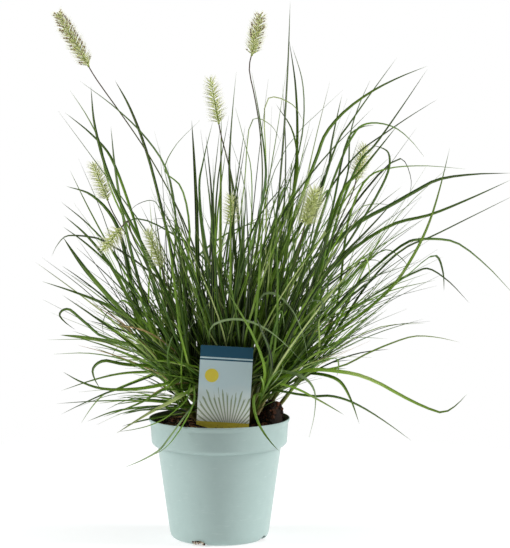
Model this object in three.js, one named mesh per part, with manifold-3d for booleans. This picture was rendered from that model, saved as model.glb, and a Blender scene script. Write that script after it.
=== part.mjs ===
// A little fountain grass in a nursery pot: leafy shoots, nine bottlebrush flower heads and a plant label.
// Sizes are in millimetres, +Z is up and the middle of the pot's flat foot is the origin.
// The front of the plant, where the label stands, looks towards -Y.
import * as THREE from 'three';
import { mergeVertices } from 'three/addons/utils/BufferGeometryUtils.js';
import Module from 'manifold-3d';

const wasm = await Module();
wasm.setup();

// The air between two neighbours that touch on the real plant
const fit = 0.3;

// Pot
const potHeight = 146;
const potWall = 1.6;
const lipRadius = 85;
const collarRadius = 83;
const collarBottom = 113;
const bodyTopRadius = 74.5;
const footRadius = 60;
const floorThickness = 1.8;
const potSides = 24;
const heel = { inset: 6, height: 8 };
const collarRound = 3.2;
const collarTaper = 1.4;
const collarInside = collarRadius - potWall - 1.2;
const flareHeight = 6;
const lipHeight = 2.4;
const notchWidth = 19;
const notchHeight = 6;
const notchTurn = THREE.MathUtils.degToRad(-114);
const drainHoleRadius = 5;
const drainCircle = 36;

// Soil: it meets the pot at its edge, swells under the plant and has a steep lump at the right
const soilEdge = 137;
const mound = { halfWidth: 58, halfDepth: 54, rise: 10 };
const lump = { x: 67, y: -33, spread: 17, rise: 29 };
const crumbCount = 5;
const crumbSize = { least: 2.5, most: 4.5 };

// Plant label: a card with a pointed stake below it, leaning to the right and a little back
const card = { width: 62, height: 96, thickness: 0.8, corner: 3, stakeWidth: 15, stakeLength: 42 };
const cardFoot = new THREE.Vector3(4.7, -65.5, 144);
const cardLean = THREE.MathUtils.degToRad(3.4);
const cardBack = THREE.MathUtils.degToRad(1.6);

// Tussock: leafy shoots that stand in a spiral, each with a sheath whose stub is in the soil
const tussock = { x: 12, y: 5, halfWidth: 50, halfDepth: 43 };
const shootCount = 38;
const goldenAngle = Math.PI * (3 - Math.sqrt(5));
const stubRadius = 2.9;
const sheathTopRadius = 1.9;
const stubDepth = 12;
const sheathSides = 5;
const sheathRise = { least: 46, most: 68 };
const sheathLean = { middle: 3, outwards: 36, scatter: 3 };

// Leaves
const leavesPerShoot = 6;
const leafSteps = 4;
const bladeThickness = 0.95;
const standingWidth = { least: 3.2, most: 4.6 };
const massWidth = { least: 2.8, most: 4.4 };
const massReach = { base: 205, rightwards: 50, upright: 110 };
const clearance = 0.2;
const labelRoom = 5.5;
const rimRoom = 92;
const lowestLeaf = 85;

// Flower stalks and heads
const culmRadius = 0.95;
const socketDepth = 9;
const straightStalk = 14;
const headRoom = 12;
const bristlesPerHead = 11;
const bristleLength = 11;
const bristleRadius = 0.95;

// The nine flower heads: the tip and the base of each, and the way that its stalk takes up to it
const heads = [
  { tip: [-195, 20, 634], base: [-156, 20, 567], stalk: [[-41, 15, 371], [-83, 20, 458]] },
  { tip: [50, 10, 632], base: [39, 10, 580], stalk: [[51, 5, 408], [49, 8, 490]] },
  { tip: [-11, 0, 557], base: [0, 0, 499], stalk: [[17, 0, 350], [15, 0, 432]] },
  { tip: [-152, 0, 456], base: [-133, 0, 408], stalk: [[-92, 0, 330]] },
  { tip: [-136, -78, 352], base: [-114, -52, 378], stalk: [[-78, -25, 320], [-100, -38, 364]] },
  { tip: [-85, -44, 379], base: [-68, -40, 331], stalk: [[-52, -30, 285]] },
  { tip: [15, -52, 421], base: [15, -50, 380], stalk: [[15, -38, 320]] },
  { tip: [114, -70, 428], base: [101, -70, 382], stalk: [[84, -60, 315]] },
  { tip: [178, 50, 476], base: [166, 50, 430], stalk: [[133, 44, 350]] },
];

// Leaves that stand out from the mass, from where each leaves it up to its tip. A line gives the depth that
// the tip reaches, then the points that the leaf passes: how far right of the axis and how high each is.
const standingLeaves = [
  [10, [79, 504], [85, 645]],
  [40, [95, 497], [84, 601]],
  [60, [105, 510], [88, 593]],
  [30, [97, 461], [68, 523]],
  [-10, [56, 421], [55, 468], [39, 561]],
  [-25, [13, 431], [15, 493], [21, 561]],
  [-40, [39, 439], [30, 480], [20, 519]],
  [30, [-26, 418], [-20, 455], [-8, 501]],
  [50, [-29, 428], [-34, 503]],
  [-30, [-37, 415], [-64, 450], [-22, 504]],
  [10, [-55, 419], [-95, 491], [-166, 550]],
  [35, [-97, 492], [-126, 551]],
  [0, [-119, 408], [-129, 496]],
  [-20, [-140, 462], [-151, 544]],
  [20, [-131, 415], [-146, 483], [-179, 539]],
  [40, [-121, 430], [-141, 471], [-187, 512]],
  [-50, [-72, 349], [-127, 430], [-187, 515]],
  [45, [-139, 357], [-182, 442]],
  [60, [-139, 398], [-188, 422]],
  [70, [-142, 355], [-195, 402]],
  [20, [-143, 347], [-187, 388]],
  [-10, [-140, 341], [-186, 377]],
  [30, [-139, 357], [-163, 363], [-188, 362], [-203, 339]],
  [-45, [-147, 314], [-166, 340], [-183, 367]],
  [-30, [-129, 283], [-158, 310], [-186, 332]],
  [-15, [-103, 260], [-143, 285], [-211, 312]],
  [-60, [-106, 241], [-133, 263], [-183, 300]],
  [-35, [-135, 245], [-160, 265], [-181, 281], [-189, 273], [-170, 256]],
  [-70, [-100, 227], [-127, 239], [-171, 259]],
  [50, [-159, 235], [-196, 240]],
  [-50, [-87, 212], [-111, 214], [-139, 219], [-149, 208], [-139, 186]],
  [-20, [-78, 196], [-130, 196], [-189, 181]],
  [-65, [-86, 187], [-146, 190], [-183, 210]],
  [10, [-118, 178], [-143, 170], [-192, 148]],
  [45, [-123, 174], [-146, 164], [-171, 131]],
  [-75, [-66, 186], [-93, 172], [-135, 158]],
  [-85, [-51, 176], [-81, 162], [-119, 140]],
  [-112, [-33, 164], [-53, 140], [-70, 122], [-107, 109]],
  [20, [139, 470], [160, 504], [213, 578]],
  [-20, [113, 450], [132, 496], [186, 541], [247, 568]],
  [-40, [161, 445], [188, 479], [245, 564]],
  [45, [151, 445], [208, 492], [264, 528]],
  [-60, [143, 416], [168, 446], [210, 500]],
  [35, [151, 411], [161, 497], [182, 551]],
  [60, [130, 431], [138, 478], [149, 533]],
  [0, [159, 484], [177, 499], [214, 492], [245, 460]],
  [-30, [186, 412], [202, 453], [198, 469], [178, 475]],
  [60, [171, 423], [210, 445], [301, 443]],
  [-10, [148, 364], [222, 410], [266, 434], [349, 441]],
  [30, [208, 338], [265, 367], [358, 413]],
  [-50, [197, 297], [233, 350], [253, 398], [271, 472]],
  [-20, [221, 355], [243, 361], [287, 356], [354, 294]],
  [40, [231, 314], [257, 322], [305, 280]],
  [-40, [136, 208], [189, 233], [237, 249], [285, 242]],
  [-75, [106, 210], [134, 210], [173, 203], [223, 178], [266, 163], [291, 185]],
  [-60, [107, 178], [138, 178], [175, 163], [228, 127]],
  [-85, [84, 191], [114, 179], [147, 162]],
  [-20, [136, 193], [151, 182], [168, 141]],
  [-105, [98, 206], [114, 186], [104, 136]],
  [-110, [40, 277], [60, 305], [91, 278], [105, 227]],
  [-120, [-11, 259], [19, 274], [60, 262], [99, 227]],
  [-100, [50, 236], [68, 230], [76, 212], [60, 196]],
  [-116, [70, 196], [79, 161], [97, 102]],
  [-112, [44, 186], [52, 150], [72, 119]],
  [10, [187, 366], [265, 393], [350, 432]],
];

// Even numbers between two limits, the same ones for the same seed
function dice(seed) {
  const modulus = 2147483647;
  let state = (seed * 7127 + 1) % modulus;
  const roll = (low, high) => {
    state = (state * 48271) % modulus;
    return low + ((high - low) * state) / modulus;
  };
  roll(0, 1);
  roll(0, 1);
  return roll;
}

// A closed solid from a geometry, with its shared corners merged
function solid(geometry) {
  const bare = new THREE.BufferGeometry();
  bare.setAttribute('position', geometry.getAttribute('position'));
  bare.setIndex(geometry.getIndex());
  const joined = mergeVertices(bare, 1e-4);
  const index = joined.getIndex().array;
  const corners = [];
  for (let i = 0; i < index.length; i += 3) {
    const [a, b, c] = [index[i], index[i + 1], index[i + 2]];
    if (a !== b && b !== c && c !== a) corners.push(a, b, c);
  }
  const vertProperties = new Float32Array(joined.getAttribute('position').array);
  const mesh = new wasm.Mesh({ numProp: 3, vertProperties, triVerts: new Uint32Array(corners) });
  return new wasm.Manifold(mesh);
}

function fused(solids) {
  return solids.reduce((whole, piece) => whole.add(piece));
}

function cutBy(body, tools) {
  return tools.reduce((left, tool) => left.subtract(tool), body);
}

// The largest body of a solid, without the loose scraps that joining can leave
function largest(body) {
  const bodies = body.decompose();
  return bodies.reduce((best, each) => (each.volume() > best.volume() ? each : best));
}

function named(name, body, look) {
  const { vertProperties, triVerts } = body.getMesh();
  const geometry = new THREE.BufferGeometry();
  geometry.setAttribute('position', new THREE.BufferAttribute(vertProperties, 3));
  geometry.setIndex(new THREE.BufferAttribute(triVerts, 1));
  geometry.computeVertexNormals();
  const mesh = new THREE.Mesh(geometry, new THREE.MeshStandardMaterial(look));
  mesh.name = name;
  return mesh;
}

// A profile of [radius, height] points turned about the upright axis
function turned(profile, sides) {
  const points = profile.map(([radius, height]) => new THREE.Vector2(radius, height));
  return new THREE.LatheGeometry(points, sides).rotateX(Math.PI / 2);
}

// Carries a geometry that stands on the origin along +Y to a foot, with its height along the given axis
function stoodOn(geometry, foot, axis) {
  const turn = new THREE.Quaternion().setFromUnitVectors(new THREE.Vector3(0, 1, 0), axis);
  return geometry.applyQuaternion(turn).translate(foot.x, foot.y, foot.z);
}

// A direction that leans away from upright towards an azimuth
function heading(azimuth, lean) {
  const flat = Math.sin(lean);
  return new THREE.Vector3(flat * Math.cos(azimuth), flat * Math.sin(azimuth), Math.cos(lean));
}

// Pot: a rounded heel, a tapering body, a step out to the tall collar and a flared lip
function makePot() {
  const outer = [
    [0, 0],
    [footRadius - heel.inset, 0],
    [footRadius - 2, 2.2],
    [footRadius, heel.height],
    [bodyTopRadius, collarBottom - 0.6],
    [collarRadius - collarTaper - 3.1, collarBottom],
    [collarRadius - collarTaper, collarBottom + collarRound],
    [collarRadius, potHeight - flareHeight],
    [lipRadius, potHeight - lipHeight],
    [lipRadius, potHeight],
  ];
  const inner = [
    [lipRadius - potWall, potHeight],
    [collarRadius - potWall, potHeight - flareHeight + 1],
    [collarInside, collarBottom + collarRound + 1.4],
    [bodyTopRadius - potWall, collarBottom + 1],
    [footRadius - potWall, heel.height],
    [footRadius - potWall - 1.8, 3.2],
    [footRadius - potWall - 5, floorThickness],
    [0, floorThickness],
  ];
  const shell = solid(turned([...outer, ...inner], potSides));
  const tools = [];
  for (let i = 0; i < 4; i += 1) {
    const turn = notchTurn + (i * Math.PI) / 2;
    const notch = new THREE.CylinderGeometry(1, 1, 26, 12).scale(notchWidth / 2, 1, notchHeight);
    notch.rotateZ(-Math.PI / 2).translate(footRadius, 0, 0).rotateZ(turn);
    tools.push(solid(notch));
    const drain = new THREE.CylinderGeometry(drainHoleRadius, drainHoleRadius, 8, 10).rotateX(Math.PI / 2);
    drain.translate(drainCircle, 0, 0).rotateZ(turn + Math.PI / 4);
    tools.push(solid(drain));
  }
  return cutBy(shell, tools);
}

// Soil: the height of its surface
function soilHeight(x, y) {
  const fromTussock = ((x - tussock.x) / mound.halfWidth) ** 2 + ((y - tussock.y) / mound.halfDepth) ** 2;
  const fromLump = ((x - lump.x) / lump.spread) ** 2 + ((y - lump.y) / lump.spread) ** 2;
  const broadRipple = 1.1 * Math.sin(x * 0.21 + 1.3) * Math.cos(y * 0.19);
  const fineRipple = 0.8 * Math.sin(x * 0.47 - y * 0.39);
  const level = soilEdge + mound.rise * Math.exp(-fromTussock) + lump.rise * Math.exp(-(fromLump ** 2));
  return level + broadRipple + fineRipple;
}

function makeSoil(holes) {
  const edge = collarInside - fit;
  const side = [
    [0, floorThickness + fit],
    [footRadius - potWall - 5.2, floorThickness + fit],
    [footRadius - potWall - 2.2, 3.5],
    [footRadius - potWall - fit, heel.height],
    [bodyTopRadius - potWall - fit, collarBottom + 1.2],
    [edge, collarBottom + 5],
    [edge, soilEdge],
  ];
  const rings = [0.92, 0.78, 0.62, 0.42, 0.2, 0].map((part) => [edge * part, soilEdge + 1]);
  const geometry = turned([...side, ...rings], potSides);
  const position = geometry.getAttribute('position');
  for (let i = 0; i < position.count; i += 1) {
    if (position.getZ(i) > soilEdge + 0.5) {
      position.setZ(i, soilHeight(position.getX(i), position.getY(i)));
    }
  }
  const crumbs = [];
  const roll = dice(901);
  for (let i = 0; i < crumbCount; i += 1) {
    const turn = i * goldenAngle;
    const out = roll(50, 70);
    const size = roll(crumbSize.least, crumbSize.most);
    const x = out * Math.cos(turn);
    const y = out * Math.sin(turn);
    const crumb = new THREE.IcosahedronGeometry(size, 0).scale(1, roll(0.7, 1), 0.7).rotateZ(turn);
    crumbs.push(solid(crumb.translate(x, y, soilHeight(x, y) + 0.2 * size)));
  }
  return largest(cutBy(fused([solid(geometry), ...crumbs]), holes));
}

// Plant label: its outline from the pointed stake up, grown by a margin for the slot that it stands in
function cardOutline(margin) {
  const half = card.width / 2 + margin;
  const stake = card.stakeWidth / 2 + margin;
  const foot = -card.stakeLength - margin;
  const corner = card.corner;
  const shape = new THREE.Shape();
  shape.moveTo(-2 - margin, foot);
  shape.lineTo(2 + margin, foot);
  shape.lineTo(stake, foot + 14);
  shape.lineTo(stake, -4 - margin);
  shape.lineTo(half, 2 - margin);
  shape.lineTo(half, card.height - corner);
  shape.absarc(half - corner, card.height - corner, corner, 0, Math.PI / 2, false);
  shape.lineTo(-half + corner, card.height);
  shape.absarc(-half + corner, card.height - corner, corner, Math.PI / 2, Math.PI, false);
  shape.lineTo(-half, 2 - margin);
  shape.lineTo(-stake, -4 - margin);
  shape.lineTo(-stake, foot + 14);
  shape.closePath();
  return shape;
}

function labelSolid(margin) {
  const depth = card.thickness + 2 * margin;
  const options = { depth, bevelEnabled: false, curveSegments: 3, steps: 1 };
  const geometry = new THREE.ExtrudeGeometry(cardOutline(margin), options);
  geometry.translate(0, 0, -depth / 2).rotateZ(-cardLean).rotateX(Math.PI / 2 - cardBack);
  return solid(geometry.translate(cardFoot.x, cardFoot.y, cardFoot.z));
}

// Layout of the plant: the straight stretches of everything in place, with the room that each one needs
const taken = [];
const from = new THREE.Vector3();
const along = new THREE.Vector3();
const other = new THREE.Vector3();

function takeUp(owner, route, room) {
  for (let i = 1; i < route.length; i += 1) {
    const box = new THREE.Box3().setFromPoints([route[i - 1], route[i]]).expandByScalar(room);
    taken.push({ owner, start: route[i - 1], end: route[i], room, box, rooted: i === 1 });
  }
}

// The least distance between the stretch from a to b and the stretch from c to d
function leastDistance(a, b, c, d) {
  along.subVectors(b, a);
  other.subVectors(d, c);
  from.subVectors(a, c);
  const ownSquare = along.dot(along);
  const otherSquare = other.dot(other);
  const both = along.dot(other);
  const ownFrom = along.dot(from);
  const otherFrom = other.dot(from);
  const spread = ownSquare * otherSquare - both * both;
  let own = 0;
  if (spread > 1e-6) own = THREE.MathUtils.clamp((both * otherFrom - ownFrom * otherSquare) / spread, 0, 1);
  let far = (both * own + otherFrom) / otherSquare;
  if (far < 0 || far > 1) {
    far = THREE.MathUtils.clamp(far, 0, 1);
    own = THREE.MathUtils.clamp((both * far - ownFrom) / ownSquare, 0, 1);
  }
  return from.addScaledVector(along, own).addScaledVector(other, -far).length();
}

// Whether a leaf's stretch keeps off the soil, the rim and the outside of the pot
function clearOfPot(start, end) {
  const length = start.distanceTo(end);
  for (let walked = 0; walked <= length; walked += 5) {
    from.lerpVectors(start, end, walked / length);
    const out = Math.hypot(from.x, from.y);
    const overSoil = soilHeight(from.x, from.y) + 4;
    let least = lowestLeaf;
    if (out < rimRoom) least = Math.max(potHeight + 3, overSoil);
    if (out < 76) least = overSoil;
    if (from.z < least) return false;
  }
  return true;
}

// Whether a route keeps off everything else. Leaves of one shoot may only meet where they spring from it.
function isClear(owner, route, room) {
  for (let i = 1; i < route.length; i += 1) {
    if (!clearOfPot(route[i - 1], route[i])) return false;
    const box = new THREE.Box3().setFromPoints([route[i - 1], route[i]]).expandByScalar(room);
    for (const piece of taken) {
      const sameRoot = piece.owner === owner && (i === 1 || piece.rooted);
      if (!sameRoot && piece.box.intersectsBox(box)) {
        const gap = leastDistance(route[i - 1], route[i], piece.start, piece.end);
        if (gap < room + piece.room) return false;
      }
    }
  }
  return true;
}

// A sheath from its foot in the soil to its top
function sheathLine(x, y, azimuth, lean, length) {
  const axis = heading(azimuth, lean);
  const foot = new THREE.Vector3(x, y, soilHeight(x, y)).addScaledVector(axis, -stubDepth);
  return { foot, top: foot.clone().addScaledVector(axis, length) };
}

// Whether a sheath, or the leaves that carry on its line, would come against the label
function touchesLabel(foot, top) {
  const strips = taken.filter((piece) => piece.owner === 'label');
  const beyond = foot.clone().lerp(top, 1.9);
  const room = labelRoom + stubRadius + 3;
  return strips.some((strip) => leastDistance(foot, beyond, strip.start, strip.end) < room);
}

// Shoots stand in a spiral over the tussock and lean outwards, those behind the label less than the others
function plantShoots() {
  const shoots = [];
  for (let i = 0; i < shootCount; i += 1) {
    const roll = dice(i + 1);
    const out = Math.sqrt((i + 0.5) / shootCount);
    const x = tussock.x + tussock.halfWidth * out * Math.cos(i * goldenAngle);
    const y = tussock.y + tussock.halfDepth * out * Math.sin(i * goldenAngle);
    const azimuth = i * goldenAngle + roll(-0.12, 0.12);
    const length = stubDepth + roll(sheathRise.least, sheathRise.most);
    const scatter = roll(-sheathLean.scatter, sheathLean.scatter);
    let lean = THREE.MathUtils.degToRad(sheathLean.middle + sheathLean.outwards * out ** 1.3 + scatter);
    let { foot, top } = sheathLine(x, y, azimuth, lean, length);
    while (touchesLabel(foot, top)) {
      lean *= 0.8;
      ({ foot, top } = sheathLine(x, y, azimuth, lean, length));
    }
    const axis = heading(azimuth, lean);
    const grown = { standing: 0, leaves: [], stalk: null };
    takeUp(i, [foot, top], stubRadius + clearance);
    shoots.push({ number: i, foot, top, axis, azimuth, lean, length, ...grown });
  }
  return shoots;
}

// The shoots, with the one that leans most nearly towards a point first
function byTurn(shoots, point) {
  const turn = (shoot) => shoot.axis.angleTo(point.clone().sub(shoot.top));
  return [...shoots].sort((a, b) => turn(a) - turn(b));
}

// A smooth route through a few points, as evenly shared stations
function smoothRoute(points, steps) {
  return new THREE.CatmullRomCurve3(points).getPoints(steps);
}

function headAxis(head) {
  const base = new THREE.Vector3(...head.base);
  const tip = new THREE.Vector3(...head.tip);
  return { base, tip, axis: tip.clone().sub(base).normalize() };
}

// A flower stalk grows out of the top of a shoot and ends straight, inside the head's socket
function growStalks(shoots) {
  heads.forEach((head, i) => {
    const { base, tip } = headAxis(head);
    takeUp(`head ${i}`, [base, tip], headRoom);
  });
  heads.forEach((head, i) => {
    const { base, axis } = headAxis(head);
    const points = head.stalk.map((point) => new THREE.Vector3(...point));
    for (const shoot of byTurn(shoots, points[0])) {
      const start = shoot.top.clone().addScaledVector(shoot.axis, -6);
      const straight = base.clone().addScaledVector(axis, -straightStalk);
      const route = smoothRoute([start, ...points, straight], 3 + 2 * points.length);
      if (!shoot.stalk && isClear(shoot.number, route, culmRadius + clearance)) {
        route.push(base.clone().addScaledVector(axis, socketDepth - fit));
        takeUp(shoot.number, route, culmRadius + clearance);
        shoot.stalk = { route, head: i };
        break;
      }
    }
  });
}

// The route of a leaf that stands out: it springs from the sheath and reaches its depth, or one near it
function standingRoute(shoot, leaf, shift) {
  const [tipDepth, ...spots] = leaf;
  const start = shoot.foot.clone().lerp(shoot.top, 0.92 - 0.14 * shoot.standing);
  const first = new THREE.Vector3(spots[0][0], start.y, spots[0][1]);
  const reach = start.distanceTo(first);
  const spring = start.clone().addScaledVector(shoot.axis, 0.24 * reach).lerp(first, 0.12);
  const points = [start, spring];
  let walked = Math.hypot(spots[0][0] - start.x, spots[0][1] - start.z);
  const lengths = [walked];
  for (let i = 1; i < spots.length; i += 1) {
    walked += Math.hypot(spots[i][0] - spots[i - 1][0], spots[i][1] - spots[i - 1][1]);
    lengths.push(walked);
  }
  spots.forEach(([x, z], i) => {
    const part = lengths[i] / walked;
    points.push(new THREE.Vector3(x, start.y + (tipDepth + shift - start.y) * part, z));
  });
  return smoothRoute(points, 2 * spots.length + 1);
}

function growStanding(shoots) {
  const shifts = [0, -8, 8, -16, 16, -26, 26, -38, 38];
  standingLeaves.forEach((leaf, i) => {
    const roll = dice(300 + i);
    const width = roll(standingWidth.least, standingWidth.most);
    const twist = roll(0.5, 1.2) * (i % 2 ? 1 : -1);
    const target = new THREE.Vector3(leaf[1][0], 0.4 * leaf[0], leaf[1][1]);
    const nearest = byTurn(shoots, target).filter((shoot) => shoot.standing < 2).slice(0, 10);
    for (const shift of shifts) {
      for (const shoot of nearest) {
        const route = standingRoute(shoot, leaf, shift);
        if (isClear(shoot.number, route, width / 2 + clearance)) {
          shoot.leaves.push({ route, width, twist });
          shoot.standing += 1;
          takeUp(shoot.number, route, width / 2 + clearance);
          return;
        }
      }
    }
  });
}

// A leaf of the mass: it leaves the sheath to one of its two sides and arches over as it goes
function wildRoute(shoot, roll, side) {
  const start = shoot.foot.clone().lerp(shoot.top, 0.9 - 0.08 * shoot.leaves.length);
  const azimuth = shoot.azimuth + side * roll(0.1, 1.1) + roll(-0.2, 0.2);
  const spread = THREE.MathUtils.degToRad(roll(-8, 26));
  const droop = THREE.MathUtils.degToRad(roll(0, 34) * roll(0.2, 1));
  const sideways = massReach.rightwards * Math.cos(azimuth);
  const reach = massReach.base + sideways + massReach.upright * Math.cos(shoot.lean + spread);
  const stretch = (reach * roll(0.66, 1.04)) / leafSteps;
  const route = [start];
  for (let i = 0; i < leafSteps; i += 1) {
    const part = (i + 0.5) / leafSteps;
    const opened = Math.min(1, 2.2 * part);
    const lean = shoot.lean + spread * opened + droop * part * part;
    const turn = shoot.azimuth + (azimuth - shoot.azimuth) * opened;
    route.push(route[i].clone().addScaledVector(heading(turn, lean), stretch));
  }
  return route;
}

function growMass(shoots) {
  for (let rank = 0; rank < leavesPerShoot; rank += 1) {
    for (const shoot of shoots) {
      const roll = dice(1000 + 50 * shoot.number + rank);
      const side = rank % 2 ? 1 : -1;
      for (let attempt = 0; attempt < 80 && shoot.leaves.length < leavesPerShoot; attempt += 1) {
        const width = roll(massWidth.least, massWidth.most);
        const twist = roll(-0.9, 0.9);
        const route = wildRoute(shoot, roll, side);
        if (isClear(shoot.number, route, width / 2 + clearance)) {
          shoot.leaves.push({ route, width, twist });
          takeUp(shoot.number, route, width / 2 + clearance);
          break;
        }
      }
    }
  }
}

// Bends an upright unit cone or cylinder along a route: each ring of its corners goes to one station. The
// section gives each corner's place across the route and below it.
function bent(geometry, route, twist, section) {
  const steps = route.length - 1;
  const first = route[0];
  const last = route[steps];
  const flat = new THREE.Vector3(last.x - first.x, last.y - first.y, 0).normalize();
  const level = new THREE.Vector3(-flat.y, flat.x, 0);
  const position = geometry.getAttribute('position');
  for (let i = 0; i < position.count; i += 1) {
    const station = Math.round((position.getY(i) + 0.5) * steps);
    const behind = route[Math.max(station - 1, 0)];
    const tangent = route[Math.min(station + 1, steps)].clone().sub(behind).normalize();
    const across = level.clone().addScaledVector(tangent, -level.dot(tangent)).normalize();
    across.applyAxisAngle(tangent, twist * (0.4 + (0.9 * station) / steps));
    const below = new THREE.Vector3().crossVectors(across, tangent);
    const corner = section(position.getX(i), position.getZ(i), station / steps);
    const place = route[station].clone();
    place.addScaledVector(across, corner.across).addScaledVector(below, corner.below);
    position.setXYZ(i, place.x, place.y, place.z);
  }
  return geometry;
}

// A leaf: a flat top, a keel under its middle, widest near a quarter of its length and pointed
function leafSolid({ route, width, twist }) {
  const geometry = new THREE.ConeGeometry(1, 1, 3, route.length - 1);
  const section = (x, z, part) => {
    const size = Math.hypot(x, z);
    if (size < 1e-6) return { across: 0, below: part > 0.5 ? 0 : bladeThickness / 3 };
    const taper = Math.min(1, 0.4 + 2.4 * part) * (1 - part) ** 0.55;
    const across = ((x / size) * taper * width) / Math.sqrt(3);
    const below = ((2 * (z / size) + 1) / 3) * bladeThickness * (0.55 + 0.45 * taper);
    return { across, below };
  };
  return solid(bent(geometry, route, twist, section));
}

function stalkSolid(route) {
  const steps = route.length - 1;
  const geometry = new THREE.CylinderGeometry(1, 1, 1, 5, steps);
  const section = (x, z) => ({ across: x * culmRadius, below: z * culmRadius });
  return solid(bent(geometry, route, 0, section));
}

// The hole in the soil that a shoot stands in, wider and deeper than its stub by the fit
function stubHole(shoot) {
  const radius = stubRadius + fit / Math.cos(Math.PI / sheathSides);
  const length = 2 * stubDepth + fit;
  const geometry = new THREE.CylinderGeometry(radius, radius, length, sheathSides);
  geometry.translate(0, length / 2 - fit, 0);
  return solid(stoodOn(geometry, shoot.foot, shoot.axis));
}

// A leafy shoot: a tapering sheath with its stub in the soil, its leaves and, on some, a flower stalk
function makeShoot(shoot) {
  const sheath = new THREE.CylinderGeometry(sheathTopRadius, stubRadius, shoot.length, sheathSides);
  sheath.translate(0, shoot.length / 2, 0);
  const solids = [solid(stoodOn(sheath, shoot.foot, shoot.axis))];
  shoot.leaves.forEach((leaf) => solids.push(leafSolid(leaf)));
  if (shoot.stalk) solids.push(stalkSolid(shoot.stalk.route));
  return largest(fused(solids));
}

// A flower head: a slim spindle with pointed bristles that stand out of it, and a socket for its stalk
function makeHead(head, number) {
  const { base, tip, axis } = headAxis(head);
  const length = base.distanceTo(tip);
  const profile = [
    [0, 0], [2.4, 0.5], [3.8, 8], [4.5, length * 0.4], [3.6, length * 0.8], [1.4, length - 1], [0, length],
  ];
  const points = profile.map(([radius, height]) => new THREE.Vector2(radius, height));
  const solids = [solid(stoodOn(new THREE.LatheGeometry(points, 7), base, axis))];
  const roll = dice(700 + number);
  for (let i = 0; i < bristlesPerHead; i += 1) {
    const height = 4 + ((length - 9) * (i + 0.5)) / bristlesPerHead;
    const size = bristleLength * roll(0.85, 1.1) * (1 - 0.35 * (height / length) ** 3);
    const tilt = THREE.MathUtils.degToRad(-roll(44, 56));
    const bristle = new THREE.ConeGeometry(bristleRadius, size, 3).translate(0, size / 2, 0);
    bristle.rotateZ(tilt).translate(1.6, height, 0).rotateY(i * goldenAngle);
    solids.push(solid(stoodOn(bristle, base, axis)));
  }
  const boreRadius = culmRadius + fit + 0.15;
  const reach = socketDepth + 4;
  const bore = new THREE.CylinderGeometry(boreRadius, boreRadius, reach, 8).translate(0, reach / 2 - 4, 0);
  return largest(cutBy(fused(solids), [solid(stoodOn(bore, base, axis))]));
}

function numbered(name, number) {
  return `${name}_${String(number + 1).padStart(2, '0')}`;
}

// The label's face, as upright strips that leaves keep clear of
function keepOffLabel() {
  const rise = new THREE.Vector3(Math.sin(cardLean), Math.tan(cardBack), Math.cos(cardLean)).normalize();
  const right = new THREE.Vector3(Math.cos(cardLean), 0, -Math.sin(cardLean));
  for (let strip = -3; strip <= 3; strip += 1) {
    const foot = cardFoot.clone().addScaledVector(right, (strip * card.width) / 6.4);
    takeUp('label', [foot, foot.clone().addScaledVector(rise, card.height)], labelRoom);
  }
}

keepOffLabel();
const shoots = plantShoots();
growStalks(shoots);
growStanding(shoots);
growMass(shoots);

const potLook = { color: 0xb9cfca, roughness: 0.55, metalness: 0 };
const soilLook = { color: 0x2a1a12, roughness: 0.95, metalness: 0 };
const labelLook = { color: 0xd9e6ea, roughness: 0.35, metalness: 0 };
const headLook = { color: 0xcfd79a, roughness: 0.8, metalness: 0 };
const greens = [0x35531f, 0x45652b, 0x567a36, 0x3c5a33];

const plant = new THREE.Group();
plant.add(named('pot', makePot(), potLook));
const holes = [...shoots.map(stubHole), labelSolid(fit)];
plant.add(named('soil', makeSoil(holes), soilLook));
plant.add(named('plant_label', labelSolid(0), labelLook));
shoots.forEach((shoot, i) => {
  const look = { color: greens[i % greens.length], roughness: 0.6, metalness: 0 };
  plant.add(named(numbered('leafy_shoot', i), makeShoot(shoot), look));
});
heads.forEach((head, i) => plant.add(named(numbered('flower_head', i), makeHead(head, i), headLook)));

export default plant;
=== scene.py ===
# Dresses the potted fountain grass: pot, soil, plant label, leafy shoots and bottlebrush flower heads.
import math

import bmesh
import bpy
import numpy as np
from mathutils import Matrix, Vector, noise


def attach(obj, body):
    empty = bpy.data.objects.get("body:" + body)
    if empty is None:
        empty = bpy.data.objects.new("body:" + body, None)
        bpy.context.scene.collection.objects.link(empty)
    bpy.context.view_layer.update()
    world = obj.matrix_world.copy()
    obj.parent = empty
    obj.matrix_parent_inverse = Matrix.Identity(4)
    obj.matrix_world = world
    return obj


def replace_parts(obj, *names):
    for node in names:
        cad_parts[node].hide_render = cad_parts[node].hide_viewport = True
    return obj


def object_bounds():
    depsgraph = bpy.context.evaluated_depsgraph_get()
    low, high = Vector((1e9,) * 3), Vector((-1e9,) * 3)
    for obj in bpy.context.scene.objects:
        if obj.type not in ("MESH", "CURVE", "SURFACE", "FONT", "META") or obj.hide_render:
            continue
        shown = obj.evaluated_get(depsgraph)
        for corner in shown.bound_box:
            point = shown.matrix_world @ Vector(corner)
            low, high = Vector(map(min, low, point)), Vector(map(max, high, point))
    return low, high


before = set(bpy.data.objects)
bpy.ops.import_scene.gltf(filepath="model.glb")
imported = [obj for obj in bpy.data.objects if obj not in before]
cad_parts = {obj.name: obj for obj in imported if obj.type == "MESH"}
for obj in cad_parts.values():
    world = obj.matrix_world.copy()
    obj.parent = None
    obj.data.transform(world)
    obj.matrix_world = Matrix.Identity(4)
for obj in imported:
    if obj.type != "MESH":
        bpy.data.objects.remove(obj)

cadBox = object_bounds()
mm = 0.001  # the plant is laid out in millimetres, and its meshes are in metres
goldenAngle = math.pi * (3 - math.sqrt(5))


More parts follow.
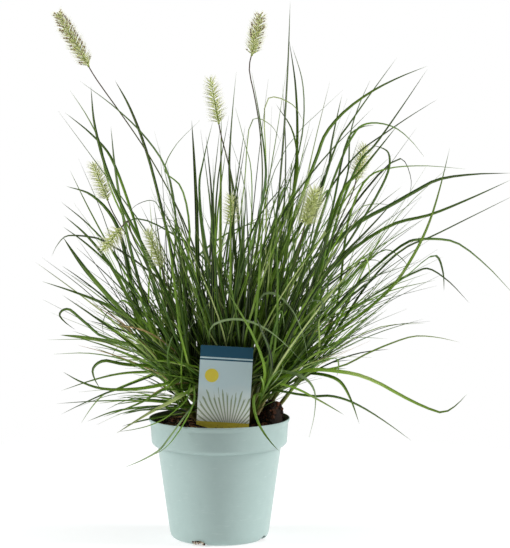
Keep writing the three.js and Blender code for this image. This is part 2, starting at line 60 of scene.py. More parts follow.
def dice(seed):  # evenly spread numbers between two limits, the same ones for the same seed
    modulus = 2147483647
    state = (seed * 7127 + 1) % modulus

    def roll(low, high):
        nonlocal state
        state = state * 48271 % modulus
        return low + (high - low) * state / modulus

    roll(0, 1)
    roll(0, 1)
    return roll


def heading(azimuth, lean):  # a direction that leans away from upright towards an azimuth
    flat = math.sin(lean)
    return np.array([flat * math.cos(azimuth), flat * math.sin(azimuth), math.cos(lean)])


def unit(vector):
    return vector / math.sqrt(float((vector * vector).sum()))


def distance(a, b):
    return math.sqrt(float(((b - a) ** 2).sum()))


# Helpers for materials
def rgb(red, green, blue):  # a screen colour from 0 to 255, as the linear colour that shaders read
    linear = [c / 255 / 12.92 if c < 10.3 else ((c / 255 + 0.055) / 1.055) ** 2.4 for c in (red, green, blue)]
    return (*linear, 1.0)


def addNode(tree, kind, inputs=None, **settings):
    node = tree.nodes.new("ShaderNode" + kind)
    for key, value in settings.items():
        setattr(node, key, value)
    for key, value in (inputs or {}).items():
        if isinstance(value, bpy.types.NodeSocket):
            tree.links.new(value, node.inputs[key])
        else:
            node.inputs[key].default_value = value
    return node


def calc(tree, operation, a, b=0.0, c=0.0, clamp=False):
    return addNode(tree, "Math", {0: a, 1: b, 2: c}, operation=operation, use_clamp=clamp).outputs[0]


def blend(tree, factor, a, b, kind="MIX"):
    return addNode(tree, "Mix", {0: factor, 6: a, 7: b}, data_type="RGBA", blend_type=kind).outputs[2]


def ramp(tree, factor, stops):  # stops are (place, colour) or (place, grey)
    node = addNode(tree, "ValToRGB", {"Fac": factor})
    elements = node.color_ramp.elements
    while len(elements) < len(stops):
        elements.new(0.5)
    for element, (place, level) in zip(elements, stops):
        element.position = place
        element.color = level if isinstance(level, tuple) else (level, level, level, 1.0)
    return node.outputs["Color"]


def cloud(tree, vector, scale, detail=3.0, rough=0.55):
    values = {"Vector": vector, "Scale": scale, "Detail": detail, "Roughness": rough}
    return addNode(tree, "TexNoise", values).outputs["Fac"]


def attribute(tree, name):
    return addNode(tree, "Attribute", attribute_name=name).outputs["Fac"]


def squareSum(tree, a, b):
    return calc(tree, "ADD", calc(tree, "MULTIPLY", a, a), calc(tree, "MULTIPLY", b, b))


def bump(tree, height, strength, depth):
    values = {"Height": height, "Strength": strength, "Distance": depth}
    return addNode(tree, "Bump", values).outputs["Normal"]


def ofKind(tree, kind, number):  # 1 where the stored kind is this number, and 0 elsewhere
    return calc(tree, "COMPARE", kind, number, 0.4)


def newMaterial(name, **constants):  # constants are sockets of the shader, with _ for each space
    material = bpy.data.materials.new(name)
    material.use_nodes = True
    shader = material.node_tree.nodes["Principled BSDF"]
    for key, value in constants.items():
        shader.inputs[key.replace("_", " ")].default_value = value
    return material, material.node_tree, shader


def wire(tree, shader, colour, roughness, normal):
    tree.links.new(colour, shader.inputs["Base Color"])
    tree.links.new(roughness, shader.inputs["Roughness"])
    tree.links.new(normal, shader.inputs["Normal"])


def newGroup(name, inputs, output):  # inputs are name: (socket kind, default value)
    group = bpy.data.node_groups.new(name, "ShaderNodeTree")
    for socket, (kind, value) in inputs.items():
        made = group.interface.new_socket(socket, in_out="INPUT", socket_type="NodeSocket" + kind)
        if kind == "Float":
            made.default_value = value
    group.interface.new_socket(output, in_out="OUTPUT", socket_type="NodeSocketFloat")
    return group, group.nodes.new("NodeGroupInput").outputs, group.nodes.new("NodeGroupOutput").inputs


def useGroup(tree, group, inputs):
    return addNode(tree, "Group", inputs, node_tree=group).outputs[0]


def makeGrainGroup():  # fine grain over a slower cloud, for plastic, card, soil, leaves and bristles
    group, given, out = newGroup("fineGrain", {"Vector": ("Vector", None), "Scale": ("Float", 300.0),
                                               "Fineness": ("Float", 0.5)}, "Grain")
    slow = cloud(group, given["Vector"], given["Scale"], 3.0)
    fineScale = calc(group, "MULTIPLY", given["Scale"], 7.0)
    fine = cloud(group, given["Vector"], fineScale, 2.0, 0.7)
    mixed = addNode(group, "Mix", {0: given["Fineness"], 2: slow, 3: fine}).outputs[0]
    group.links.new(mixed, out["Grain"])
    return group


def makeDustGroup():  # soil that has splashed on a surface, near a level and thinning out from it
    group, given, out = newGroup("soilDust", {"Vector": ("Vector", None), "Level": ("Float", 0.14),
                                              "Reach": ("Float", 0.02), "Amount": ("Float", 0.5)}, "Dust")
    height = addNode(group, "SeparateXYZ", {0: given["Vector"]}).outputs["Z"]
    away = calc(group, "ABSOLUTE", calc(group, "SUBTRACT", height, given["Level"]))
    near = calc(group, "SUBTRACT", 1.0, calc(group, "DIVIDE", away, given["Reach"]), clamp=True)
    specks = cloud(group, given["Vector"], 520.0, 4.0, 0.7)
    share = calc(group, "MULTIPLY", near, calc(group, "MULTIPLY", given["Amount"], 0.5))
    threshold = calc(group, "SUBTRACT", 0.86, share)
    mask = calc(group, "MULTIPLY", calc(group, "SUBTRACT", specks, threshold), 9.0, clamp=True)
    group.links.new(mask, out["Dust"])
    return group


fineGrain = makeGrainGroup()
soilDust = makeDustGroup()


# Helpers for meshes
def newObject(name, bm, material):
    mesh = bpy.data.meshes.new(name)
    bm.to_mesh(mesh)
    bm.free()
    mesh.materials.append(material)
    obj = bpy.data.objects.new(name, mesh)
    bpy.context.scene.collection.objects.link(obj)
    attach(obj, "root")
    return obj


def shade(bm, sharpest):  # smooth faces, with edges that turn more than this left sharp
    for face in bm.faces:
        face.smooth = True
    for edge in bm.edges:
        edge.smooth = len(edge.link_faces) == 2 and edge.calc_face_angle(0) < sharpest


def spun(profile, steps):  # a closed body from a profile of (radius, height, rounding of the corner)
    bm = bmesh.new()
    corners = [bm.verts.new((r * mm, 0, z * mm)) for r, z, soft in profile]
    for a, b in zip(corners[:-1], corners[1:]):
        bm.edges.new((a, b))
    for corner, (r, z, soft) in zip(corners, profile):
        if soft:
            bmesh.ops.bevel(bm, geom=[corner], offset=soft * mm, offset_type="OFFSET", segments=4,
                            profile=0.5, affect="VERTICES", material=-1)
    bmesh.ops.spin(bm, geom=bm.verts[:] + bm.edges[:], cent=(0, 0, 0), axis=(0, 0, 1), angle=2 * math.pi,
                   steps=steps, use_merge=True)
    bmesh.ops.remove_doubles(bm, verts=bm.verts, dist=1e-6)
    bmesh.ops.dissolve_degenerate(bm, edges=bm.edges, dist=1e-7)
    bmesh.ops.recalc_face_normals(bm, faces=bm.faces)
    return bm


def cutAway(obj, bm):  # takes the closed bodies of a bmesh out of an object
    mesh = bpy.data.meshes.new("cutter")
    bm.to_mesh(mesh)
    bm.free()
    cutter = bpy.data.objects.new("cutter", mesh)
    bpy.context.scene.collection.objects.link(cutter)
    modifier = obj.modifiers.new("cut", "BOOLEAN")
    modifier.operation = "DIFFERENCE"
    modifier.object = cutter
    modifier.solver = "EXACT"
    bpy.context.view_layer.update()
    done = bpy.data.meshes.new_from_object(obj.evaluated_get(bpy.context.evaluated_depsgraph_get()))
    obj.modifiers.clear()
    obj.data = done
    bpy.data.objects.remove(cutter)


def asTemplate(name, bm, steps=1):
    bmesh.ops.recalc_face_normals(bm, faces=bm.faces)
    mesh = bpy.data.meshes.new(name)
    for layer in ("tone", "kind"):
        if layer not in bm.verts.layers.float:
            bm.verts.layers.float.new(layer)
    bm.to_mesh(mesh)
    bm.free()
    places = np.empty(len(mesh.vertices) * 3, np.float32)
    mesh.vertices.foreach_get("co", places)
    return {"mesh": mesh, "places": places.reshape(-1, 3).astype(float), "steps": steps}


def tubeTemplate(name, sides, steps, edged=False):  # a closed tube along x, one unit long and one in radius
    bm = bmesh.new()
    bmesh.ops.create_circle(bm, segments=sides, radius=1, cap_ends=True)
    turn = Matrix.Rotation(math.pi / 2, 3, "Y")
    bmesh.ops.rotate(bm, verts=bm.verts[:], cent=(0, 0, 0), matrix=turn)
    ring = bm.edges[:]
    for _ in range(steps):
        grown = bmesh.ops.extrude_edge_only(bm, edges=ring)["geom"]
        ring = [item for item in grown if isinstance(item, bmesh.types.BMEdge)]
        verts = [item for item in grown if isinstance(item, bmesh.types.BMVert)]
        ring = [edge for edge in ring if all(vert in verts for vert in edge.verts)]
        bmesh.ops.translate(bm, verts=verts, vec=(1 / steps, 0, 0))
    bmesh.ops.contextual_create(bm, geom=ring)
    uv = bm.loops.layers.uv.new("along")
    for face in bm.faces:
        for loop in face.loops:
            loop[uv].uv = (0.5 + 0.5 * loop.vert.co.y, loop.vert.co.x)
    shade(bm, math.radians(80) if not edged else math.pi)
    for edge in bm.edges:
        if edged and all(abs(vert.co.y) > 0.9 for vert in edge.verts):  # the thin margins of a blade
            edge.smooth = False
    return asTemplate(name, bm, steps)


def stamp(bm, template, places, tone, kind=None):  # adds a copy of the template at new places, in millimetres
    copy = template["mesh"].copy()
    count = len(copy.vertices)
    copy.vertices.foreach_set("co", (places * mm).astype(np.float32).ravel())
    copy.attributes["tone"].data.foreach_set("value", np.full(count, tone, np.float32))
    if kind is not None:
        copy.attributes["kind"].data.foreach_set("value", np.full(count, kind, np.float32))
    bm.from_mesh(copy)
    bpy.data.meshes.remove(copy)


def frameAlong(axis, turn):  # three directions as rows: two across an axis, and the axis
    helper = np.array([0.0, 0.0, 1.0]) if abs(axis[2]) < 0.9 else np.array([1.0, 0.0, 0.0])
    side = unit(np.cross(helper, axis))
    other = np.cross(axis, side)
    turned = side * math.cos(turn) + other * math.sin(turn)
    return np.array([turned, np.cross(axis, turned), axis])


def smoothRoute(points, steps):  # a centripetal Catmull-Rom curve through the points, in even shares
    points = [np.asarray(p, float) for p in points]
    spans = len(points) - 1
    route = []
    for k in range(steps + 1):
        t = spans * (k / steps)
        i = min(int(math.floor(t)), spans - 1)
        w = t - i
        p1 = points[i]
        p2 = points[i + 1]
        p0 = points[i - 1] if i > 0 else 2 * points[0] - points[1]
        p3 = points[i + 2] if i + 2 <= spans else 2 * points[spans] - points[spans - 1]
        d0 = ((p0 - p1) ** 2).sum() ** 0.25
        d1 = ((p1 - p2) ** 2).sum() ** 0.25
        d2 = ((p2 - p3) ** 2).sum() ** 0.25
        t1 = ((p1 - p0) / d0 - (p2 - p0) / (d0 + d1) + (p2 - p1) / d1) * d1
        t2 = ((p2 - p1) / d1 - (p3 - p1) / (d1 + d2) + (p3 - p2) / d2) * d1
        c2 = -3 * p1 + 3 * p2 - 2 * t1 - t2
        c3 = 2 * p1 - 2 * p2 + t1 + t2
        route.append(p1 + t1 * w + c2 * w * w + c3 * w * w * w)
    return np.array(route)


def bentFrames(route, twist=0):  # the directions across and below at each station of a route
    route = np.asarray(route)
    steps = len(route) - 1
    level = unit(np.array([route[0][1] - route[-1][1], route[-1][0] - route[0][0], 0]))
    tangent = np.vstack([route[1:], route[-1:]]) - np.vstack([route[:1], route[:-1]])
    tangent /= np.sqrt((tangent ** 2).sum(1))[:, None]
    across = level - tangent * (tangent @ level)[:, None]
    across /= np.sqrt((across ** 2).sum(1))[:, None]
    angle = (twist * (0.4 + 0.9 * np.arange(steps + 1) / steps))[:, None]
    across = across * np.cos(angle) + np.cross(tangent, across) * np.sin(angle)
    return across, np.cross(across, tangent)


def tubePlaces(template, route, radius):  # radius is a function of the part of the way
    fine = smoothRoute(route, template["steps"])
    across, below = bentFrames(fine)
    station = np.round(template["places"][:, 0] * template["steps"]).astype(int)
    size = np.array([radius(k / template["steps"]) for k in range(template["steps"] + 1)])[station][:, None]
    ring = across[station] * template["places"][:, 1:2] + below[station] * template["places"][:, 2:3]
    return fine[station] + ring * size


# Pot: its profile, wall and holes
pot = {
    "height": 146, "wall": 1.6, "lip": 85, "collar": 83, "collarBottom": 113, "bodyTop": 74.5, "foot": 60,
    "floor": 1.8, "steps": 112, "notchWidth": 19, "notchHeight": 6, "notchTurn": math.radians(-114),
    "drainRadius": 5, "drainCircle": 36,
    "mint": rgb(172, 193, 189), "shadowMint": rgb(155, 177, 174), "scuff": rgb(200, 214, 210),
    "earth": rgb(48, 32, 22),
}


def makePotMaterial():
    material, tree, shader = newMaterial("potPlastic", IOR=1.48)
    place = addNode(tree, "TexCoord").outputs["Object"]
    inside = attribute(tree, "inside")
    grain = useGroup(tree, fineGrain, {"Vector": place, "Scale": 90.0, "Fineness": 0.35})
    colour = blend(tree, calc(tree, "MULTIPLY", grain, 0.7), pot["mint"], pot["shadowMint"])
    stretched = addNode(tree, "Mapping", {"Vector": place, "Scale": (1.0, 1.0, 9.0)}).outputs[0]
    scratches = cloud(tree, stretched, 60.0, 5.0, 0.75)
    scuffs = ramp(tree, scratches, [(0.6, 0.0), (0.72, 0.55)])
    colour = blend(tree, scuffs, colour, pot["scuff"])
    # the inside of the pot is turned most of the way to the earth colour by the grain, and all the way near
    # the rim; soil dust at the foot too
    innerRimToEarth = useGroup(tree, soilDust, {"Vector": place, "Level": 0.136, "Reach": 0.022, "Amount": 2.2})
    innerRimToEarth = calc(tree, "MULTIPLY", innerRimToEarth, inside)
    footDust = useGroup(tree, soilDust, {"Vector": place, "Level": 0.002, "Reach": 0.014, "Amount": 0.45})
    insideToEarth = calc(tree, "MULTIPLY", inside, ramp(tree, grain, [(0.25, 0.95), (0.75, 0.6)]))
    towardEarth = calc(tree, "MAXIMUM", calc(tree, "MAXIMUM", innerRimToEarth, footDust), insideToEarth)
    colour = blend(tree, calc(tree, "MULTIPLY", towardEarth, 0.8), colour, pot["earth"])
    rings = addNode(tree, "TexWave", {"Vector": place, "Scale": 95.0, "Distortion": 0.4, "Detail": 1.0},
                    wave_type="BANDS", bands_direction="Z", wave_profile="SIN").outputs["Fac"]
    height = calc(tree, "ADD", calc(tree, "MULTIPLY", rings, 0.16), calc(tree, "MULTIPLY", grain, 0.6))
    roughness = calc(tree, "MULTIPLY_ADD", grain, 0.28, 0.3)
    roughness = calc(tree, "MULTIPLY_ADD", towardEarth, 0.3, roughness)
    wire(tree, shader, colour, roughness, bump(tree, height, 0.25, 0.0004))
    return material


def makePot():
    p = pot
    outer = [
        (0, 0, 0), (p["foot"] - 6, 0, 1.2), (p["foot"] - 2, 2.2, 2), (p["foot"], 8, 2),
        (p["bodyTop"], p["collarBottom"] - 0.6, 0.4), (p["collar"] - 4.5, p["collarBottom"], 1.2),
        (p["collar"] - 1.4, p["collarBottom"] + 3.2, 1.6), (p["collar"], p["height"] - 6, 1.2),
        (p["lip"], p["height"] - 2.4, 0.9), (p["lip"], p["height"], 0.5),
    ]
    inner = [
        (p["lip"] - p["wall"], p["height"], 0.5), (p["collar"] - p["wall"], p["height"] - 5, 1),
        (p["collar"] - 1.2 - p["wall"], p["collarBottom"] + 4.6, 1),
        (p["bodyTop"] - p["wall"], p["collarBottom"] + 1, 1), (p["foot"] - p["wall"], 8, 1),
        (p["foot"] - 3.4, 3.2, 0.6), (p["foot"] - 6.6, p["floor"], 0.6), (0, p["floor"], 0),
    ]
    bm = spun(outer + inner, p["steps"])
    obj = newObject("potShell", bm, makePotMaterial())
    cutters = bmesh.new()
    for i in range(4):
        turn = p["notchTurn"] + i * math.pi / 2
        spot = Matrix.Rotation(turn, 4, "Z") @ Matrix.Translation((p["foot"] * mm, 0, 0))
        size = Matrix.Diagonal((1, p["notchWidth"] / 2 * mm, p["notchHeight"] * mm, 1))
        bmesh.ops.create_cone(cutters, cap_ends=True, segments=32, radius1=1, radius2=1, depth=26 * mm,
                              matrix=spot @ size @ Matrix.Rotation(math.pi / 2, 4, "Y"))
        between = Matrix.Rotation(turn + math.pi / 4, 4, "Z")
        drain = between @ Matrix.Translation((p["drainCircle"] * mm, 0, 0))
        bmesh.ops.create_cone(cutters, cap_ends=True, segments=28, radius1=p["drainRadius"] * mm,
                              radius2=p["drainRadius"] * mm, depth=8 * mm, matrix=drain)
    cutAway(obj, cutters)
    bm = bmesh.new()
    bm.from_mesh(obj.data)
    shade(bm, math.radians(32))
    bm.normal_update()
    inside = bm.verts.layers.float.new("inside")
    for vert in bm.verts:
        vert[inside] = float(vert.normal.dot(Vector((vert.co.x, vert.co.y, 0))) < 0)
    bm.to_mesh(obj.data)
    bm.free()
    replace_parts(obj, "pot")


print("pot")
makePot()


# Soil: a mounded root ball with crumbs, bark chips and straw on its top
soil = {
    "edge": 137, "moundRise": 10, "moundX": 12, "moundY": 5, "moundWide": 58, "moundDeep": 54,
    "lumpX": 67, "lumpY": -33, "lumpSpread": 17, "lumpRise": 29, "fit": 0.3, "topRadius": 76.5,
    "rings": 34, "steps": 96, "crumbs": 1500, "grains": 50, "chips": 150, "straws": 60, "notchRoots": 26,
    "clods": 1300, "clodSpread": 1.35, "bankWidth": 32, "bankLeft": 20, "bankFront": 4,
    "peat": rgb(26, 17, 11), "dryPeat": rgb(60, 40, 27), "bark": rgb(88, 52, 32), "straw": rgb(160, 130, 84),
    "grit": rgb(138, 120, 98), "root": rgb(226, 216, 198),
}
soilKind = {"peat": 0, "bark": 1, "straw": 2, "grit": 3, "root": 4}  # stored for the material
soilRim = pot["collar"] - 1.2 - pot["wall"] - soil["fit"]  # the soil's radius inside the collar


def soilHeight(x, y):
    s = soil
    mound = ((x - s["moundX"]) / s["moundWide"]) ** 2 + ((y - s["moundY"]) / s["moundDeep"]) ** 2
    lump = ((x - s["lumpX"]) / s["lumpSpread"]) ** 2 + ((y - s["lumpY"]) / s["lumpSpread"]) ** 2
    ripple = 1.1 * np.sin(x * 0.21 + 1.3) * np.cos(y * 0.19) + 0.8 * np.sin(x * 0.47 - y * 0.39)
    return s["edge"] + s["moundRise"] * np.exp(-mound) + s["lumpRise"] * np.exp(-(lump ** 2)) + ripple


def makeSoilMaterial():
    material, tree, shader = newMaterial("soilEarth", IOR=1.4, Specular_IOR_Level=0.25)
    place = addNode(tree, "TexCoord").outputs["Object"]
    grain = useGroup(tree, fineGrain, {"Vector": place, "Scale": 160.0, "Fineness": 0.55})
    clods = addNode(tree, "TexVoronoi", {"Vector": place, "Scale": 420.0})
    peat = blend(tree, ramp(tree, grain, [(0.42, 0.0), (0.68, 1.0)]), soil["peat"], soil["dryPeat"])
    peat = blend(tree, ramp(tree, clods.outputs["Distance"], [(0.15, 0.0), (0.6, 0.6)]), peat, soil["peat"])
    kind = attribute(tree, "kind")
    colour = peat
    for part in ("bark", "straw", "grit", "root"):
        colour = blend(tree, ofKind(tree, kind, soilKind[part]), colour, soil[part])
    shadeBy = calc(tree, "MULTIPLY_ADD", attribute(tree, "tone"), 0.9, 0.5)
    grey = addNode(tree, "CombineColor", {0: shadeBy, 1: shadeBy, 2: shadeBy}).outputs[0]
    colour = blend(tree, 1.0, colour, grey, "MULTIPLY")
    colour = blend(tree, 0.5, colour, ramp(tree, grain, [(0.3, 0.35), (0.7, 1.0)]), "MULTIPLY")
    height = calc(tree, "ADD", grain, calc(tree, "MULTIPLY", clods.outputs["Distance"], 0.5))
    roughness = calc(tree, "MULTIPLY_ADD", grain, 0.25, 0.68)
    wire(tree, shader, colour, roughness, bump(tree, height, 0.7, 0.0015))
    return material


def scattered(bm, template, count, seed, kind, place):  # copies a template over the soil's top
    roll = dice(seed)
    for _ in range(count):
        out = soil["topRadius"] * math.sqrt(roll(0, 1))
        turn = roll(0, 2 * math.pi)
        x = out * math.cos(turn)
        y = out * math.sin(turn)
        size, sink, tilt = place(roll)
        axes = frameAlong(unit(np.array([roll(-tilt, tilt), roll(-tilt, tilt), 1.0])), roll(0, 2 * math.pi))
        spot = np.array([x, y, float(soilHeight(x, y)) + sink])
        stamp(bm, template, spot + (template["places"] * size) @ axes, roll(0, 1), kind)


def makeSoilBody():  # fills the pot's inside, with a rough top
    s, p = soil, pot
    side = [
        (0, p["floor"] + s["fit"], 0), (p["foot"] - 6.8, p["floor"] + s["fit"], 0), (p["foot"] - 3.8, 3.5, 0),
        (p["foot"] - p["wall"] - s["fit"], 8, 0),
        (p["bodyTop"] - p["wall"] - s["fit"], p["collarBottom"] + 1.2, 0),
        (soilRim, p["collarBottom"] + 5, 0), (soilRim, s["edge"], 0),
    ]
    top = [(soilRim * (1 - (k + 1) / s["rings"]), s["edge"] + 1, 0) for k in range(s["rings"])]
    bm = spun(side + top, s["steps"])
    for vert in bm.verts:
        if vert.co.z > (s["edge"] + 0.5) * mm:
            x, y = vert.co.x / mm, vert.co.y / mm
            rough = noise.fractal(Vector((x, y, 0)) * 0.16, 1.0, 2.0, 4)
            vert.co.z = (float(soilHeight(x, y)) + 1.5 * rough) * mm
    for layer in ("tone", "kind"):
        bm.verts.layers.float.new(layer)
    tone = bm.verts.layers.float["tone"]
    for vert in bm.verts:
        vert[tone] = 0.45
    shade(bm, math.radians(50))
    return bm


def makeCrumb():  # a small uneven ball
    bm = bmesh.new()
    bmesh.ops.create_icosphere(bm, subdivisions=1, radius=1)
    for vert in bm.verts:
        vert.co *= 1 + 0.35 * noise.noise(vert.co * 3)
    return asTemplate("crumb", bm)


def makeChip():  # a small block with worn edges
    bm = bmesh.new()
    bmesh.ops.create_cube(bm, size=2)
    bmesh.ops.bevel(bm, geom=bm.edges[:], offset=0.3, segments=1, profile=0.5, affect="EDGES", material=-1)
    return asTemplate("barkChip", bm)


def crumbPlace(roll):  # each of these three gives a size, a height over the soil and the greatest tilt
    big = roll(0, 1) ** 4
    return np.array([1, roll(0.7, 1), roll(0.6, 0.9)]) * (0.7 + 3.0 * big), 0.2, 0.8


def grainPlace(roll):
    return np.array([1, 0.9, 0.8]) * roll(0.4, 0.9), 0.6, 0.8


def chipPlace(roll):
    return np.array([roll(2, 5.5), roll(1, 2.4), roll(0.5, 1.0)]), roll(0.2, 1.2), 0.55


def pileClods(bm, crumb, chip):  # on the lump, and on the bank that slopes down from it
    s = soil
    roll = dice(46)
    for i in range(s["clods"]):
        out = s["lumpSpread"] * s["clodSpread"] * math.sqrt(roll(0, 1))
        turn = roll(0, 2 * math.pi)
        x = s["lumpX"] + out * math.cos(turn) - s["bankLeft"] * roll(0, 1) ** 1.5
        y = s["lumpY"] + out * math.sin(turn) - s["bankFront"] * roll(0, 1)
        fromLump = math.hypot(x - s["lumpX"], y - s["lumpY"])
        bank = s["edge"] + s["lumpRise"] * max(0, 1 - fromLump / s["bankWidth"]) ** 0.9
        top = max(float(soilHeight(x, y)), bank)
        spot = np.array([x, y, top - (top - s["edge"]) * roll(0, 1) ** 1.5 * (out / s["lumpSpread"])])
        size = (0.8 + 2.6 * roll(0, 1) ** 2) * np.array([1, roll(0.6, 1), roll(0.5, 0.9)])
        axes = frameAlong(unit(np.array([roll(-1, 1), roll(-1, 1), 1.0])), roll(0, 2 * math.pi))
        template, kind = (chip, "bark") if i % 5 == 0 else (crumb, "peat")
        if math.hypot(x, y) < soilRim - 1:
            stamp(bm, template, spot + (template["places"] * size) @ axes, roll(0, 1), soilKind[kind])


def fibrePlaces(fibre, points, thick):  # thins towards its end
    return tubePlaces(fibre, points, lambda part: thick * (1.1 - 0.6 * part))


def layStraws(bm, fibre):
    roll = dice(44)
    for _ in range(soil["straws"]):
        out = 66 * math.sqrt(roll(0, 1))
        turn = roll(0, 2 * math.pi)
        way = roll(0, 2 * math.pi)
        length = roll(7, 26)
        points = []
        for k in range(4):
            part = k / 3 - 0.5
            x = out * math.cos(turn) + part * length * math.cos(way) + roll(-1, 1)
            y = out * math.sin(turn) + part * length * math.sin(way) + roll(-1, 1)
            points.append(np.array([x, y, float(soilHeight(x, y)) + roll(0.8, 2.6)]))
        places = fibrePlaces(fibre, points, roll(0.25, 0.6))
        stamp(bm, fibre, places, roll(0.2, 1), soilKind["straw"])


def growNotchRoots(bm, fibre, crumb):  # roots and crumbs that show in the front notch of the pot
    roll = dice(45)
    for i in range(soil["notchRoots"]):
        turn = pot["notchTurn"] + roll(-0.12, 0.12)
        out = np.array([math.cos(turn), math.sin(turn), 0])
        start = out * roll(54, 57) + np.array([0, 0, roll(2.2, 4.5)])
        end = out * roll(60, 64) + np.array([roll(-3, 3), roll(-2, 2), roll(0.4, 4)])
        middle = (start + end) / 2 + np.array([roll(-1, 1), roll(-1, 1), roll(0, 1.5)])
        stamp(bm, fibre, fibrePlaces(fibre, [start, middle, end], roll(0.2, 0.45)), 1, soilKind["root"])
        size = roll(0.6, 1.5)
        places = middle + (crumb["places"] * size) @ frameAlong(out, roll(0, 6))
        kind = ("root", "bark", "grit")[i % 3]
        stamp(bm, crumb, places, roll(0.3, 1), soilKind[kind])


def makeSoil():
    s = soil
    bm = makeSoilBody()
    crumb = makeCrumb()
    chip = makeChip()
    fibre = tubeTemplate("fibre", 4, 5)
    scattered(bm, crumb, s["crumbs"], 41, soilKind["peat"], crumbPlace)
    scattered(bm, crumb, s["grains"], 42, soilKind["grit"], grainPlace)
    scattered(bm, chip, s["chips"], 43, soilKind["bark"], chipPlace)
    pileClods(bm, crumb, chip)
    layStraws(bm, fibre)
    growNotchRoots(bm, fibre, crumb)
    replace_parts(newObject("soilBall", bm, makeSoilMaterial()), "soil")


# Plant label: a bare card of generic bands and grass strokes, on a pointed stake
card = {
    "width": 62, "height": 96, "thickness": 0.8, "corner": 1, "stakeWidth": 15, "stakeLength": 42,
    "foot": (4.7, -65.5, 144), "lean": math.radians(3.4), "back": math.radians(1.6),
    "paper": rgb(236, 238, 228), "mist": rgb(204, 226, 230), "band": rgb(40, 88, 112),
    "yellow": rgb(238, 218, 78), "stroke": rgb(120, 140, 84), "earth": rgb(48, 32, 22),
    # the print, in widths of the card from its left edge and from its foot, with the sun's radius squared
    "fanX": 0.62, "fanY": -0.15, "strokes": 52.0, "sunX": 0.24, "sunY": 0.98, "sunSquare": 0.017,
    "strip": 0.1, "lineFrom": 1.27, "lineTo": 1.3, "bandFrom": 1.33,
}


def makeCardMaterial():
    c = card
    material, tree, shader = newMaterial("labelCard", IOR=1.5, Coat_Weight=0.15, Coat_Roughness=0.25)
    uv = addNode(tree, "UVMap", uv_map="face").outputs[0]
    place = addNode(tree, "TexCoord").outputs["Object"]
    parts = addNode(tree, "SeparateXYZ", {0: uv})
    x, y = parts.outputs["X"], parts.outputs["Y"]  # 0 to 1 over the card's width, and the same scale upwards
    misty = calc(tree, "ADD", y, calc(tree, "MULTIPLY", cloud(tree, uv, 3.0, 4.0), 0.35))
    field = blend(tree, ramp(tree, misty, [(0.35, 0.0), (1.5, 1.0)]), c["paper"], c["mist"])

    # grass strokes: thin rays that fan up from a point below the card's foot
    dx = calc(tree, "SUBTRACT", x, c["fanX"])
    dy = calc(tree, "SUBTRACT", y, c["fanY"])
    angle = calc(tree, "ARCTAN2", dx, dy)
    bend = calc(tree, "MULTIPLY", calc(tree, "MULTIPLY", dy, dy), 0.25)
    bent = calc(tree, "ADD", angle, calc(tree, "MULTIPLY", bend, dx))
    rays = calc(tree, "SINE", calc(tree, "MULTIPLY", bent, c["strokes"]))
    reach = calc(tree, "SQRT", squareSum(tree, dx, dy))
    length = calc(tree, "MULTIPLY_ADD", cloud(tree, angle, 9.0, 1.0), 0.9, 0.35)
    inside = calc(tree, "LESS_THAN", reach, length)
    strokes = calc(tree, "MULTIPLY", calc(tree, "GREATER_THAN", rays, 0.35), inside)
    strokes = calc(tree, "MULTIPLY", strokes, calc(tree, "GREATER_THAN", y, c["strip"]))
    colour = blend(tree, calc(tree, "MULTIPLY", strokes, 0.8), field, c["stroke"])

    # a round sun at the left, a band along the top with a slim line under it, and a strip along the foot
    sunX = calc(tree, "SUBTRACT", x, c["sunX"])
    sunY = calc(tree, "SUBTRACT", y, c["sunY"])
    sun = calc(tree, "LESS_THAN", squareSum(tree, sunX, sunY), c["sunSquare"])
    colour = blend(tree, sun, colour, c["yellow"])
    overLine = calc(tree, "GREATER_THAN", y, c["lineFrom"])
    line = calc(tree, "MULTIPLY", overLine, calc(tree, "LESS_THAN", y, c["lineTo"]))
    band = calc(tree, "MAXIMUM", calc(tree, "GREATER_THAN", y, c["bandFrom"]), line)
    colour = blend(tree, band, colour, c["band"])
    colour = blend(tree, calc(tree, "LESS_THAN", y, c["strip"]), colour, c["yellow"])

    colour = blend(tree, attribute(tree, "front"), c["paper"], colour)
    towardEarth = useGroup(tree, soilDust, {"Vector": place, "Level": 0.14, "Reach": 0.022, "Amount": 0.75})
    colour = blend(tree, towardEarth, colour, c["earth"])
    grain = useGroup(tree, fineGrain, {"Vector": place, "Scale": 240.0, "Fineness": 0.5})
    roughness = calc(tree, "MULTIPLY_ADD", grain, 0.25, 0.22)
    wire(tree, shader, colour, roughness, bump(tree, grain, 0.12, 0.0003))
    return material


